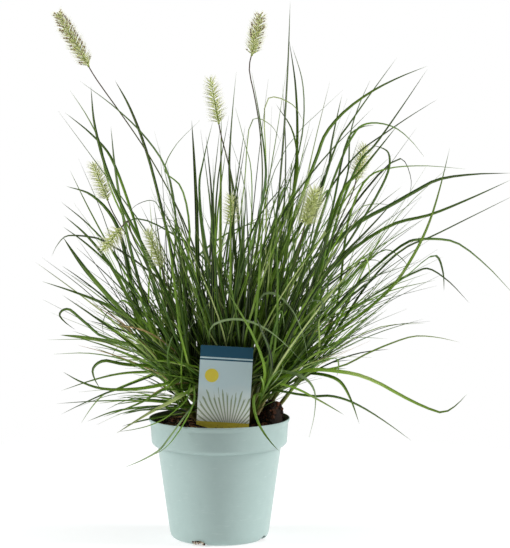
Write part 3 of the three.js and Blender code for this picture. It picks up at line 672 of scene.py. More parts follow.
def makeLabel():
    c = card
    half, stake, foot = c["width"] / 2, c["stakeWidth"] / 2, -c["stakeLength"]
    right = [(2, foot), (stake, foot + 14), (stake, -4), (half, 2), (half, c["height"])]
    outline = right + [(-x, y) for x, y in reversed(right)]
    bm = bmesh.new()
    corners = [bm.verts.new((x, y, -c["thickness"] / 2)) for x, y in outline]
    bm.faces.new(corners)
    top = [vert for vert in corners if vert.co.y == c["height"]]
    bmesh.ops.bevel(bm, geom=top, offset=c["corner"], offset_type="OFFSET", segments=6, profile=0.5,
                    affect="VERTICES", material=-1)
    grown = bmesh.ops.extrude_face_region(bm, geom=bm.faces[:])["geom"]
    bmesh.ops.translate(bm, verts=[g for g in grown if isinstance(g, bmesh.types.BMVert)],
                        vec=(0, 0, c["thickness"]))
    bmesh.ops.recalc_face_normals(bm, faces=bm.faces)
    rim = [edge for edge in bm.edges if edge.calc_face_angle(0) > 1.2]
    bmesh.ops.bevel(bm, geom=rim, offset=0.14, offset_type="OFFSET", segments=2, profile=0.5, affect="EDGES",
                    material=-1)
    shade(bm, math.radians(40))
    uv = bm.loops.layers.uv.new("face")
    front = bm.verts.layers.float.new("front")
    for face in bm.faces:
        for loop in face.loops:
            loop[uv].uv = (loop.vert.co.x / c["width"] + 0.5, loop.vert.co.y / c["width"])
    for vert in bm.verts:
        vert[front] = 1.0 if vert.co.z > 0 else 0.0
    place = (Matrix.Translation(Vector(c["foot"]) * mm) @ Matrix.Rotation(math.pi / 2 - c["back"], 4, "X")
             @ Matrix.Rotation(-c["lean"], 4, "Z") @ Matrix.Scale(mm, 4))
    bmesh.ops.transform(bm, matrix=place, verts=bm.verts[:])
    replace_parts(newObject("labelCard", bm, makeCardMaterial()), "plant_label")


print("plant label")
makeLabel()


# Tussock: leafy shoots in a spiral, with stalks, standing leaves and the mass between them
tussock = {
    "x": 12, "y": 5, "halfWidth": 50, "halfDepth": 43, "shoots": 38, "leaves": 6, "leafSteps": 4,
    "stubRadius": 2.9, "sheathTop": 1.9, "stubDepth": 12, "clearance": 0.2,
    "culmRadius": 0.95, "socketDepth": 9, "fit": 0.3, "headRoom": 12,
    # the finer leaves: how many of each sort a shoot gets, and what they keep off
    "fineLeaves": 15, "fewerLeft": 6, "fewerInner": 5, "lowLeaves": 4, "splayed": 9, "splayedFrom": 12,
    "draped": 2, "hooked": 0.1, "deadShare": 0.09, "fineReach": 278, "headView": 8, "archView": 7,
    "archDepth": -52,
    # gaps in the mass: how far right and how high the middle lies, half the width and half the height
    "openings": [
        (-29, 412, 15, 52), (44, 440, 9, 40), (-101, 342, 8, 17), (7, 380, 6, 17), (-108, 198, 5, 9),
    ],
    # the blades
    "bladeThickness": 0.34, "standingWiden": 1.4, "massWiden": 0.92, "leastWiden": 0.72, "mostWiden": 1.24,
    "archingLook": {"bright": 0.62, "twist": 1.4, "widen": 1.15, "arching": True},
    # the broad leaves get a lighter tone: painted sunlight
    "broadLook": {"bright": 0.8, "twist": 1.05, "widen": 1.3},
    # colours, and the painted shade in the middle of the plant: its centre and its size, in metres
    # the darkest and the palest leaf colours stand partly for painted shade and painted highlight
    "darkLeafAndShade": rgb(14, 32, 8), "leaf": rgb(72, 113, 26), "brightLeaf": rgb(150, 194, 58),
    "paleLeafAndHighlight": rgb(212, 226, 150), "youngLeaf": rgb(146, 172, 58), "archingLeaf": rgb(146, 168, 126),
    "tip": rgb(66, 86, 40), "midribAndHighlight": rgb(172, 200, 104), "straw": rgb(186, 158, 108),
    "sheath": rgb(140, 150, 70), "sheathFoot": rgb(132, 96, 62), "culm": rgb(96, 114, 58),
    "culmTop": rgb(92, 78, 64), "paintedShadeCore": (0.012, 0.005, 0.23), "paintedShadeSize": (0.095, 0.09, 0.15),
}
leafKind = {"green": 0, "dead": 1, "sheath": 2, "culm": 3, "arching": 4}  # stored for the material

# The nine heads: the tip and the base of each, the way its stalk takes up to it, the share of its spikelets
# that are ripe, its breadth, how closely the spikelets sit, and how pale the palest of them is
heads = [
    {"tip": (-195, 20, 634), "base": (-156, 20, 567), "stalk": [(-41, 15, 371), (-83, 20, 458)],
     "ripe": 1.0, "breadth": 1.05, "fill": 1.1, "pale": 1.0},
    {"tip": (50, 10, 632), "base": (39, 10, 580), "stalk": [(51, 5, 408), (49, 8, 490)],
     "ripe": 0.8, "breadth": 1.05, "fill": 1.1, "pale": 1.0},
    {"tip": (-11, 0, 557), "base": (0, 0, 499), "stalk": [(17, 0, 350), (15, 0, 432)],
     "ripe": 0.1, "breadth": 1.0, "fill": 0.78, "pale": 1.0},
    {"tip": (-152, 0, 456), "base": (-133, 0, 408), "stalk": [(-92, 0, 330)],
     "ripe": 0.1, "breadth": 1.0, "fill": 0.85, "pale": 1.0},
    {"tip": (-136, -78, 352), "base": (-114, -52, 378), "stalk": [(-78, -25, 320), (-100, -38, 364)],
     "ripe": 0.1, "breadth": 1.0, "fill": 0.85, "pale": 1.0},
    {"tip": (-85, -44, 379), "base": (-68, -40, 331), "stalk": [(-52, -30, 285)],
     "ripe": 0.0, "breadth": 0.9, "fill": 0.9, "pale": 0.5},
    {"tip": (15, -52, 421), "base": (15, -50, 380), "stalk": [(15, -38, 320)],
     "ripe": 0.0, "breadth": 0.9, "fill": 0.95, "pale": 1.0},
    {"tip": (114, -70, 428), "base": (101, -70, 382), "stalk": [(84, -60, 315)],
     "ripe": 0.0, "breadth": 1.3, "fill": 1.0, "pale": 0.3},
    {"tip": (178, 50, 476), "base": (166, 50, 430), "stalk": [(133, 44, 350)],
     "ripe": 0.0, "breadth": 1.0, "fill": 0.95, "pale": 1.0},
]

# Leaves that stand out in the photograph: the depth that the tip reaches, then the points that the leaf
# passes, each as how far right of the pot's axis and how high it lies
standingLeaves = [
    (10, (79, 504), (85, 645)),
    (40, (95, 497), (84, 601)),
    (60, (105, 510), (88, 593)),
    (30, (97, 461), (68, 523)),
    (-10, (56, 421), (55, 468), (39, 561)),
    (-25, (13, 431), (15, 493), (21, 561)),
    (-40, (39, 439), (30, 480), (20, 519)),
    (30, (-26, 418), (-20, 455), (-8, 501)),
    (50, (-29, 428), (-34, 503)),
    (-30, (-37, 415), (-64, 450), (-22, 504)),
    (10, (-55, 419), (-95, 491), (-166, 550)),
    (35, (-97, 492), (-126, 551)),
    (0, (-119, 408), (-129, 496)),
    (-20, (-140, 462), (-151, 544)),
    (20, (-131, 415), (-146, 483), (-179, 539)),
    (40, (-121, 430), (-141, 471), (-187, 512)),
    (-50, (-72, 349), (-127, 430), (-187, 515)),
    (45, (-139, 357), (-182, 442)),
    (60, (-139, 398), (-188, 422)),
    (70, (-142, 355), (-195, 402)),
    (20, (-143, 347), (-187, 388)),
    (-10, (-140, 341), (-186, 377)),
    (30, (-139, 357), (-163, 363), (-188, 362), (-203, 339)),
    (-45, (-147, 314), (-166, 340), (-183, 367)),
    (-30, (-129, 283), (-158, 310), (-186, 332)),
    (-15, (-103, 260), (-143, 285), (-211, 312)),
    (-60, (-106, 241), (-133, 263), (-183, 300)),
    (-35, (-135, 245), (-160, 265), (-181, 281), (-189, 273), (-170, 256)),
    (-70, (-100, 227), (-127, 239), (-171, 259)),
    (50, (-159, 235), (-196, 240)),
    (-50, (-87, 212), (-111, 214), (-139, 219), (-149, 208), (-139, 186)),
    (-20, (-78, 196), (-130, 196), (-189, 181)),
    (-65, (-86, 187), (-146, 190), (-183, 210)),
    (10, (-118, 178), (-143, 170), (-192, 148)),
    (45, (-123, 174), (-146, 164), (-171, 131)),
    (-75, (-66, 186), (-93, 172), (-135, 158)),
    (-85, (-51, 176), (-81, 162), (-119, 140)),
    (-112, (-33, 164), (-53, 140), (-70, 122), (-107, 109)),
    (20, (139, 470), (160, 504), (213, 578)),
    (-20, (113, 450), (132, 496), (186, 541), (247, 568)),
    (-40, (161, 445), (188, 479), (245, 564)),
    (45, (151, 445), (208, 492), (264, 528)),
    (-60, (143, 416), (168, 446), (210, 500)),
    (35, (151, 411), (161, 497), (182, 551)),
    (60, (130, 431), (138, 478), (149, 533)),
    (0, (159, 484), (177, 499), (214, 492), (245, 460)),
    (-30, (186, 412), (202, 453), (198, 469), (178, 475)),
    (60, (171, 423), (210, 445), (301, 443)),
    (-10, (148, 364), (222, 410), (266, 434), (349, 441)),
    (30, (208, 338), (265, 367), (358, 413)),
    (-50, (197, 297), (233, 350), (253, 398), (271, 472)),
    (-20, (221, 355), (243, 361), (287, 356), (354, 294)),
    (40, (231, 314), (257, 322), (305, 280)),
    (-40, (136, 208), (189, 233), (237, 249), (285, 242)),
    (-75, (106, 210), (134, 210), (173, 203), (223, 178), (266, 163), (291, 185)),
    (-60, (107, 178), (138, 178), (175, 163), (228, 127)),
    (-85, (84, 191), (114, 179), (147, 162)),
    (-20, (136, 193), (151, 182), (168, 141)),
    (-105, (98, 206), (114, 186), (104, 136)),
    (-110, (40, 277), (60, 305), (91, 278), (105, 227)),
    (-120, (-11, 259), (19, 274), (60, 262), (99, 227)),
    (-100, (50, 236), (68, 230), (76, 212), (60, 196)),
    (-116, (70, 196), (79, 161), (97, 102)),
    (-112, (44, 186), (52, 150), (72, 119)),
    (10, (187, 366), (265, 393), (350, 432)),
]
broadLeaves = (50, 54)  # the places in the list of two broad, sunlit leaves at the right

# Leaves that hang over the rim: the width of each, then the points that it passes
overRim = [
    (5.6, [(-26, -66, 182), (-38, -85, 154), (-51, -96, 136), (-63, -103, 124), (-82, -108, 116)]),
    (3.8, [(-34, -76, 182), (-50, -88, 167), (-67, -97, 156), (-90, -104, 149), (-116, -110, 146)]),
    (3.8, [(42, -67, 180), (46, -85, 155), (58, -96, 136), (71, -102, 122)]),
]


def leastDistance(a, b, c, d):  # between the stretches a-b and c-d
    own = b - a
    other = d - c
    apart = a - c
    ownSquare = (own * own).sum(-1)
    otherSquare = (other * other).sum(-1)
    both = (own * other).sum(-1)
    ownApart = (own * apart).sum(-1)
    otherApart = (other * apart).sum(-1)
    spread = ownSquare * otherSquare - both * both
    wide = spread > 1e-6
    part = np.clip((both * otherApart - ownApart * otherSquare) / np.where(wide, spread, 1), 0, 1) * wide
    far = (both * part + otherApart) / otherSquare
    outside = (far < 0) | (far > 1)
    far = np.clip(far, 0, 1)
    part = np.where(outside, np.clip((both * far - ownApart) / ownSquare, 0, 1), part)
    gap = apart + own * part[..., None] - other * far[..., None]
    return np.sqrt((gap * gap).sum(-1))


# Layout: the same rule, seeds and order as the solids, so each fine shoot lies along its solid

# The stretches that are taken up, with the room that each needs: those of a shoot have its number as owner,
# and the label and the heads have owners below zero
labelOwner = -1
taken = {"count": 0, "owner": np.zeros(9000), "start": np.zeros((9000, 3)), "end": np.zeros((9000, 3)),
         "room": np.zeros(9000), "rooted": np.zeros(9000, bool)}


def takeUp(owner, route, room):
    for i in range(1, len(route)):
        k = taken["count"]
        taken["owner"][k] = owner
        taken["start"][k] = route[i - 1]
        taken["end"][k] = route[i]
        taken["room"][k] = room
        taken["rooted"][k] = i == 1
        taken["count"] = k + 1


def clearOfPot(route):  # above the soil and the rim, and not too low beside the pot
    for start, end in zip(route[:-1], route[1:]):
        length = distance(start, end)
        part = np.arange(0, length, 5) / length
        spot = start + (end - start) * part[:, None]
        out = np.hypot(spot[:, 0], spot[:, 1])
        overSoil = soilHeight(spot[:, 0], spot[:, 1]) + 4
        least = np.where(out < 92, np.maximum(pot["height"] + 3, overSoil), 85.0)
        least = np.where(out < 76, overSoil, least)
        if (spot[:, 2] < least).any():
            return False
    return True


def isClear(owner, route, room, onlyFixed=False):
    route = np.array(route)
    if not clearOfPot(route):
        return False
    n = taken["count"]
    gap = leastDistance(route[:-1, None], route[1:, None], taken["start"][None, :n], taken["end"][None, :n])
    first = np.arange(len(route) - 1) == 0
    sameRoot = (taken["owner"][:n] == owner)[None] & (first[:, None] | taken["rooted"][None, :n])
    near = (gap < room + taken["room"][None, :n]) & ~sameRoot
    if onlyFixed:  # fine leaves only keep off the label and the heads
        near &= (taken["owner"][:n] < 0)[None]
    return not near.any()


def keepOffLabel():
    c = card
    rise = unit(np.array([math.sin(c["lean"]), math.tan(c["back"]), math.cos(c["lean"])]))
    right = np.array([math.cos(c["lean"]), 0, -math.sin(c["lean"])])
    for strip in range(-3, 4):
        foot = np.array(c["foot"]) + right * (strip * c["width"] / 6.4)
        takeUp(labelOwner, [foot, foot + rise * c["height"]], 5.5)


def sheathLine(x, y, azimuth, lean, length):
    axis = heading(azimuth, lean)
    foot = np.array([x, y, soilHeight(x, y)]) - axis * tussock["stubDepth"]
    return foot, foot + axis * length


def touchesLabel(foot, top):
    label = taken["owner"][:taken["count"]] == labelOwner
    n = int(label.sum())
    beyond = foot + (top - foot) * 1.9
    gap = leastDistance(foot[None], beyond[None], taken["start"][:n], taken["end"][:n])
    return bool((gap < taken["room"][:n] + tussock["stubRadius"] + 3).any())


def plantShoots():
    t = tussock
    shoots = []
    for i in range(t["shoots"]):
        roll = dice(i + 1)
        out = math.sqrt((i + 0.5) / t["shoots"])
        x = t["x"] + t["halfWidth"] * out * math.cos(i * goldenAngle)
        y = t["y"] + t["halfDepth"] * out * math.sin(i * goldenAngle)
        azimuth = i * goldenAngle + roll(-0.12, 0.12)
        length = t["stubDepth"] + roll(46, 68)
        lean = math.radians(3 + 36 * out ** 1.3 + roll(-3, 3))
        foot, top = sheathLine(x, y, azimuth, lean, length)
        while touchesLabel(foot, top):
            lean *= 0.8
            foot, top = sheathLine(x, y, azimuth, lean, length)
        takeUp(i, [foot, top], t["stubRadius"] + t["clearance"])
        shoots.append({"number": i, "foot": foot, "top": top, "axis": heading(azimuth, lean),
                       "azimuth": azimuth, "lean": lean, "standing": 0, "leaves": [], "fine": [],
                       "stalk": None})
    return shoots


def byTurn(shoots, point):  # the shoots, from the one that points most directly at a point
    def turn(shoot):
        way = np.array(point, float) - shoot["top"]
        return math.acos(max(-1, min(1, float(shoot["axis"] @ way) / math.sqrt(float(way @ way)))))
    return sorted(shoots, key=turn)


def headAxis(head):
    base = np.array(head["base"], float)
    tip = np.array(head["tip"], float)
    return base, tip, unit(tip - base)


def growStalks(shoots):
    t = tussock
    room = t["culmRadius"] + t["clearance"]
    for i, head in enumerate(heads):
        base, tip, axis = headAxis(head)
        takeUp(-2 - i, [base, tip], t["headRoom"])
    for head in heads:
        base, tip, axis = headAxis(head)
        points = [np.array(p, float) for p in head["stalk"]]
        for shoot in byTurn(shoots, points[0]):
            start = shoot["top"] - shoot["axis"] * 6
            route = smoothRoute([start, *points, base - axis * 14], 3 + 2 * len(points))
            if shoot["stalk"] is None and isClear(shoot["number"], route, room):
                shoot["stalk"] = np.vstack([route, base + axis * (t["socketDepth"] - t["fit"])])
                takeUp(shoot["number"], shoot["stalk"], room)
                break


def alongSheath(shoot, part):
    return shoot["foot"] + (shoot["top"] - shoot["foot"]) * part


def standingRoute(shoot, leaf, shift):
    tipDepth, *spots = leaf
    start = alongSheath(shoot, 0.92 - 0.14 * shoot["standing"])
    first = np.array([spots[0][0], start[1], spots[0][1]])
    spring = start + shoot["axis"] * (0.24 * distance(start, first))
    points = [start, spring + (first - spring) * 0.12]
    walked = math.hypot(spots[0][0] - start[0], spots[0][1] - start[2])
    lengths = [walked]
    for a, b in zip(spots[:-1], spots[1:]):
        walked += math.hypot(b[0] - a[0], b[1] - a[1])
        lengths.append(walked)
    for (x, z), length in zip(spots, lengths):
        points.append(np.array([x, start[1] + (tipDepth + shift - start[1]) * (length / walked), z]))
    return smoothRoute(points, 2 * len(spots) + 1)


def findStanding(shoots, leaf, room):  # the first shoot and depth at which the leaf is clear of what is there
    target = (leaf[1][0], 0.4 * leaf[0], leaf[1][1])
    nearest = [shoot for shoot in byTurn(shoots, target) if shoot["standing"] < 2][:10]
    for shift in (0, -8, 8, -16, 16, -26, 26, -38, 38):  # from the depth that the list gives
        for shoot in nearest:
            route = standingRoute(shoot, leaf, shift)
            if isClear(shoot["number"], route, room):
                return shoot, route
    return None, None


def growStanding(shoots):
    t = tussock
    for i, leaf in enumerate(standingLeaves):
        roll = dice(300 + i)
        width = roll(3.2, 4.6)
        twist = roll(0.5, 1.2) * (1 if i % 2 else -1)
        room = width / 2 + t["clearance"]
        shoot, route = findStanding(shoots, leaf, room)
        if shoot is None:
            continue
        # leaves that end low get a lighter tone: painted light on the low leaves that splay out to the sides
        bright = 0.12 + 0.55 * (i * 7 % 11) / 10 + (0.3 if leaf[-1][1] < 260 else 0)
        grown = {"route": route, "width": width, "twist": twist, "bright": bright, "standing": True}
        if leaf[0] < -90:  # these arch towards the camera
            grown.update(t["archingLook"])
        elif i in broadLeaves:
            grown.update(t["broadLook"])
        shoot["leaves"].append(grown)
        shoot["standing"] += 1
        takeUp(shoot["number"], route, room)


# Springs is the part of the sheath where the leaf starts, spread the lean that it gains soon, droop the lean
# that it gains towards its tip, sway how far it turns aside, and hook how far its tip folds over
def bentRoute(shoot, springs, azimuth, spread, droop, reach, opens=2.2, sway=0, hook=0):
    steps = tussock["leafSteps"]
    stretch = reach / steps
    route = [alongSheath(shoot, springs)]
    for i in range(steps):
        part = (i + 0.5) / steps
        opened = min(1, opens * part)
        lean = shoot["lean"] + spread * opened + droop * part * part
        turn = shoot["azimuth"] + (azimuth - shoot["azimuth"]) * opened + sway * part * part
        route.append(route[i] + heading(turn, lean) * stretch)
    if hook:
        route.append(route[-1] + heading(turn, lean + hook) * stretch * 0.35)
        route.append(route[-1] + heading(turn, lean + 1.4 * hook) * stretch * 0.3)
    return np.array(route)


def wildRoute(shoot, roll, side):  # a leaf of the solids' mass
    springs = 0.9 - 0.08 * len(shoot["leaves"])
    azimuth = shoot["azimuth"] + side * roll(0.1, 1.1) + roll(-0.2, 0.2)
    spread = math.radians(roll(-8, 26))
    droop = math.radians(roll(0, 34) * roll(0.2, 1))
    reach = 205 + 50 * math.cos(azimuth) + 110 * math.cos(shoot["lean"] + spread)
    return bentRoute(shoot, springs, azimuth, spread, droop, reach * roll(0.66, 1.04))


def growMass(shoots):  # fills every shoot up to its number of leaves, a leaf a round
    t = tussock
    for rank in range(t["leaves"]):
        for shoot in shoots:
            roll = dice(1000 + 50 * shoot["number"] + rank)
            side = 1 if rank % 2 else -1
            bright = (shoot["number"] * 5 + rank * 3) % 11 / 10
            for _ in range(80 if len(shoot["leaves"]) < t["leaves"] else 0):
                width = roll(2.8, 4.4)
                twist = roll(-0.9, 0.9)
                route = wildRoute(shoot, roll, side)
                if isClear(shoot["number"], route, width / 2 + t["clearance"]):
                    shoot["leaves"].append({"route": route, "width": width, "twist": twist, "bright": bright})
                    takeUp(shoot["number"], route, width / 2 + t["clearance"])
                    break


def wildLow(shoot, roll, side, draped):  # a leaf that springs low on the sheath and splays out over the rim
    springs = roll(0.24, 0.6)
    azimuth = shoot["azimuth"] + side * roll(0, 1.3)
    rise = math.radians(roll(40, 80 if math.cos(azimuth) < 0.2 else 64))
    droop = math.radians(roll(0, 62) * roll(0.3, 1))
    reach = 80 + 140 * roll(0, 1) ** 1.5
    opens = 2.4
    if draped:
        springs = roll(0.22, 0.34)
        rise = math.radians(roll(78, 91))
        droop = math.radians(roll(4, 34))
        reach = roll(80, 180)
        opens = 6.0
    spread = max(rise, shoot["lean"]) - shoot["lean"]
    return bentRoute(shoot, springs, azimuth, spread, droop, reach, opens)


def wildFine(shoot, roll, side):  # a leaf of the mass with a freer length, lean and sideways bend
    springs = roll(0.45, 0.96)
    azimuth = shoot["azimuth"] + side * roll(0, 2.1)
    spread = math.radians(roll(-24, 30))
    droop = math.radians(roll(-4, 64) * roll(0.2, 1))
    sway = roll(-1.1, 1.1)
    hook = math.radians(roll(40, 110)) if roll(0, 1) < tussock["hooked"] else 0
    reach = 232 + 64 * math.cos(azimuth) + 110 * math.cos(shoot["lean"] + spread)
    reach *= 0.42 + 0.62 * roll(0, 1) ** 1.5
    return bentRoute(shoot, springs, azimuth, spread, droop, reach, sway=sway, hook=hook)


def insideBox(route):  # keeps the finer leaves within the size of the solids
    low = np.array(cadBox[0]) / mm - 8
    high = np.array(cadBox[1]) / mm + 8
    return bool((route > low).all() and (route < high).all() and (route[:, 0] < tussock["fineReach"]).all())


def hidesLabel(route):  # whether a leaf passes in front of the label
    fine = smoothRoute(route, 12)
    x, y, z = fine[:, 0], fine[:, 1], fine[:, 2]
    foot = card["foot"]
    beside = abs(x - foot[0] - 3) < card["width"] / 2 + 6
    level = (z > foot[2] - 6) & (z < foot[2] + card["height"] + 8)
    return bool(((y < foot[1]) & beside & level).any())


def hidesHead(route):  # whether a leaf passes close in front of a flower head
    fine = smoothRoute(route, 16)
    for head in heads:
        base, tip, axis = headAxis(head)
        along = np.clip((fine - base) @ axis, 0, distance(base, tip))
        apart = fine - (base + along[:, None] * axis)
        if ((apart[:, 1] < 0) & (np.hypot(apart[:, 0], apart[:, 2]) < tussock["headView"])).any():
            return True
    return False


def fillsOpening(route):  # whether a leaf would close one of the gaps that show between the leaves
    fine = smoothRoute(route, 16)
    for x, z, halfWidth, halfHeight in tussock["openings"]:
        if ((abs(fine[:, 0] - x) < halfWidth) & (abs(fine[:, 2] - z) < halfHeight)).any():
            return True
    return False


def hidesArching(route, arches):  # whether a leaf crosses in front of one that arches towards the camera
    fine = smoothRoute(route, 16)
    for arch in arches:
        apart = fine[:, None] - arch[None]
        if ((apart[:, :, 1] < 0) & (np.hypot(apart[:, :, 0], apart[:, :, 2]) < tussock["archView"])).any():
            return True
    return False


def isWanted(route, arches):
    hides = fillsOpening(route) or hidesLabel(route) or hidesHead(route) or hidesArching(route, arches)
    return insideBox(route) and not hides


def growFine(shoots):  # more leaves between the main ones, clear of the pot, the label and the heads
    t = tussock
    arching = [leaf["route"] for shoot in shoots for leaf in shoot["leaves"] if leaf.get("arching")]
    arches = [smoothRoute(route, 20) for route in arching]
    arches = [arch[arch[:, 1] < t["archDepth"]] for arch in arches]
    for shoot in shoots:
        roll = dice(5000 + shoot["number"])
        across = math.cos(shoot["azimuth"])
        outer = shoot["number"] >= t["splayedFrom"]
        upright = t["fineLeaves"]
        upright -= t["fewerLeft"] if across < -0.2 else 0
        upright -= t["fewerInner"] if across < 0.3 and not outer else 0
        low = t["splayed"] if outer else t["lowLeaves"]
        draped = t["draped"] if outer and across < -0.2 else 0
        for attempt in range(180):
            grown = len(shoot["fine"])
            side = 1 if attempt % 2 else -1
            leaf = {"width": roll(2.3, 4.3), "twist": roll(-1.2, 1.2), "bright": roll(0, 1) ** 1.55}
            if grown < upright:
                leaf["route"] = wildFine(shoot, roll, side)
            else:
                # the low leaves that splay out over the rim get a lighter tone: painted light
                leaf["bright"] = 0.3 + 0.7 * leaf["bright"]
                leaf["dead"] = roll(0, 1) < t["deadShare"]
                leaf["route"] = wildLow(shoot, roll, side, grown >= upright + low)
            wanted = grown < upright + low + draped and isWanted(leaf["route"], arches)
            if wanted and isClear(shoot["number"], leaf["route"], leaf["width"] / 2, onlyFixed=True):
                shoot["fine"].append(leaf)


def hangOverRim(shoots):  # the few leaves that hang down in front of the pot
    for width, points in overRim:
        first = np.array(points[0], float)
        near = min(shoots, key=lambda shoot: distance(shoot["top"], first))
        start = alongSheath(near, 0.85)
        spring = start + near["axis"] * 0.3 * distance(start, first)
        route = smoothRoute([start, spring, *points], 8)
        near["fine"].append({"route": route, "width": width, "twist": 0.6, "bright": 0.62})


print("laying out the tussock")
keepOffLabel()
shoots = plantShoots()
growStalks(shoots)
growStanding(shoots)
growMass(shoots)
growFine(shoots)
hangOverRim(shoots)
print("leaves:", sum(len(s["leaves"]) for s in shoots), "fine:", sum(len(s["fine"]) for s in shoots))


# Leafy shoots
def makeLeafMaterial():
    t = tussock
    material, tree, shader = newMaterial("grassLeaf", IOR=1.42, Specular_IOR_Level=0.36)
    uv = addNode(tree, "UVMap", uv_map="along").outputs[0]
    place = addNode(tree, "TexCoord").outputs["Object"]
    parts = addNode(tree, "SeparateXYZ", {0: uv})
    across, along = parts.outputs["X"], parts.outputs["Y"]
    tone, kind = attribute(tree, "tone"), attribute(tree, "kind")
    slow = cloud(tree, place, 16.0, 2.0)
    # each leaf's tone, with a slow cloud, picks its green from near-black to pale: partly the leaves' own
    # differing colour, partly painted shade and painted highlight
    shadeBy = calc(tree, "MULTIPLY_ADD", slow, 0.7, calc(tree, "SUBTRACT", tone, 0.35))
    greens = [(0.05, t["darkLeafAndShade"]), (0.45, t["leaf"]), (0.8, t["brightLeaf"]), (1.0, t["paleLeafAndHighlight"])]
    green = ramp(tree, shadeBy, greens)
    young = calc(tree, "MULTIPLY", ramp(tree, along, [(0.02, 1.0), (0.3, 0.0)]), 0.42)
    green = blend(tree, young, green, t["youngLeaf"])
    tipped = calc(tree, "MULTIPLY", ramp(tree, along, [(0.55, 0.0), (0.95, 1.0)]), 0.65)
    green = blend(tree, tipped, green, t["tip"])
    arching = calc(tree, "MULTIPLY", ofKind(tree, kind, leafKind["arching"]), 0.75)
    green = blend(tree, arching, green, t["archingLeaf"])
    # a pale stripe along the middle of each blade: partly its real midrib, partly a painted highlight
    offMiddle = calc(tree, "ABSOLUTE", calc(tree, "SUBTRACT", across, 0.5))
    ribAndHighlight = ramp(tree, offMiddle, [(0.03, 0.6), (0.12, 0.0)])
    green = blend(tree, ribAndHighlight, green, t["midribAndHighlight"])
    stretched = addNode(tree, "Mapping", {"Vector": uv, "Scale": (26.0, 1.5, 1.0)}).outputs[0]
    veins = cloud(tree, stretched, 1.0, 2.0)
    green = blend(tree, 0.5, green, ramp(tree, veins, [(0.3, 0.62), (0.7, 1.0)]), "MULTIPLY")
    sheath = blend(tree, ramp(tree, along, [(0.1, 0.0), (0.6, 1.0)]), t["sheathFoot"], t["sheath"])
    culm = blend(tree, ramp(tree, along, [(0.45, 0.0), (0.85, 1.0)]), t["culm"], t["culmTop"])
    colour = blend(tree, ofKind(tree, kind, leafKind["dead"]), green, t["straw"])
    colour = blend(tree, ofKind(tree, kind, leafKind["sheath"]), colour, sheath)
    colour = blend(tree, ofKind(tree, kind, leafKind["culm"]), colour, culm)
    grain = useGroup(tree, fineGrain, {"Vector": place, "Scale": 200.0, "Fineness": 0.5})
    colour = blend(tree, 0.35, colour, ramp(tree, grain, [(0.3, 0.6), (0.7, 1.0)]), "MULTIPLY")
    # painted shade: near the middle of the plant the leaves, sheaths and stalks are darkened towards the
    # darkest leaf colour, as if the leaves around them shaded them
    fromShadeCore = addNode(tree, "Mapping", {"Vector": place, "Location": t["paintedShadeCore"], "Scale": t["paintedShadeSize"]},
                        vector_type="TEXTURE").outputs[0]
    paintedShadeCore = addNode(tree, "TexGradient", {"Vector": fromShadeCore}, gradient_type="SPHERICAL").outputs["Fac"]
    colour = blend(tree, paintedShadeCore, colour, t["darkLeafAndShade"])
    roughness = calc(tree, "MULTIPLY_ADD", veins, 0.2, 0.36)
    wire(tree, shader, colour, roughness, bump(tree, veins, 0.35, 0.0003))
    return material


def bladePlaces(template, leaf):  # a blade with raised margins, widest near a quarter of its length
    fine = smoothRoute(leaf["route"], template["steps"])
    across, below = bentFrames(fine, leaf["twist"])
    station = np.round(template["places"][:, 0] * template["steps"]).astype(int)
    part = station / template["steps"]
    taper = np.minimum(1, 0.5 + 2.4 * part) * np.maximum(1 - part ** 2.6, 0.004) ** 0.85
    half = taper * leaf["width"] / 2 * leaf["widen"]
    side = template["places"][:, 1]
    drop = template["places"][:, 2] * tussock["bladeThickness"] / 2 * (0.4 + 0.6 * taper)
    drop = drop - np.abs(side) * half * leaf["fold"]
    return fine[station] + across[station] * (side * half)[:, None] + below[station] * drop[:, None]


def makeShoot(shoot, material, templates):
    t = tussock
    number = shoot["number"]
    bm = bmesh.new()
    roll = dice(8000 + number)

    def sheathRadius(part):  # tapers upwards, with slight swellings
        swelling = 0.25 * math.sin(part * 21 + number)
        return t["stubRadius"] + (t["sheathTop"] - t["stubRadius"]) * part + swelling

    route = [alongSheath(shoot, part) for part in (0, 0.35, 0.7, 1)]
    places = tubePlaces(templates["sheath"], route, sheathRadius)
    stamp(bm, templates["sheath"], places, roll(0.2, 0.8), leafKind["sheath"])
    for leaf in shoot["leaves"] + shoot["fine"]:
        leaf["fold"] = roll(0.2, 0.75)
        uneven = roll(t["leastWiden"], t["mostWiden"])  # for leaves that have no width of their own
        if "widen" not in leaf:
            leaf["widen"] = (t["standingWiden"] if leaf.get("standing") else t["massWiden"]) * uneven
        kind = "dead" if leaf.get("dead") else "arching" if leaf.get("arching") else "green"
        blade = templates["blade" if len(leaf["route"]) <= t["leafSteps"] + 1 else "longBlade"]
        stamp(bm, blade, bladePlaces(blade, leaf), leaf["bright"], leafKind[kind])
    if shoot["stalk"] is not None:
        culm = templates["culm"]
        places = tubePlaces(culm, shoot["stalk"], lambda part: t["culmRadius"] * (1 - 0.25 * part))
        stamp(bm, culm, places, 0.5, leafKind["culm"])
    obj = newObject("leafyShoot_%02d" % (number + 1), bm, material)
    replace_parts(obj, "leafy_shoot_%02d" % (number + 1))


print("leafy shoots")
leafMaterial = makeLeafMaterial()
templates = {
    "blade": tubeTemplate("blade", 4, 12, edged=True),
    "longBlade": tubeTemplate("longBlade", 4, 24, edged=True),
    "culm": tubeTemplate("culm", 6, 22),
    "sheath": tubeTemplate("sheath", 8, 10),
}
for shoot in shoots:
    makeShoot(shoot, leafMaterial, templates)

print("soil")
makeSoil()


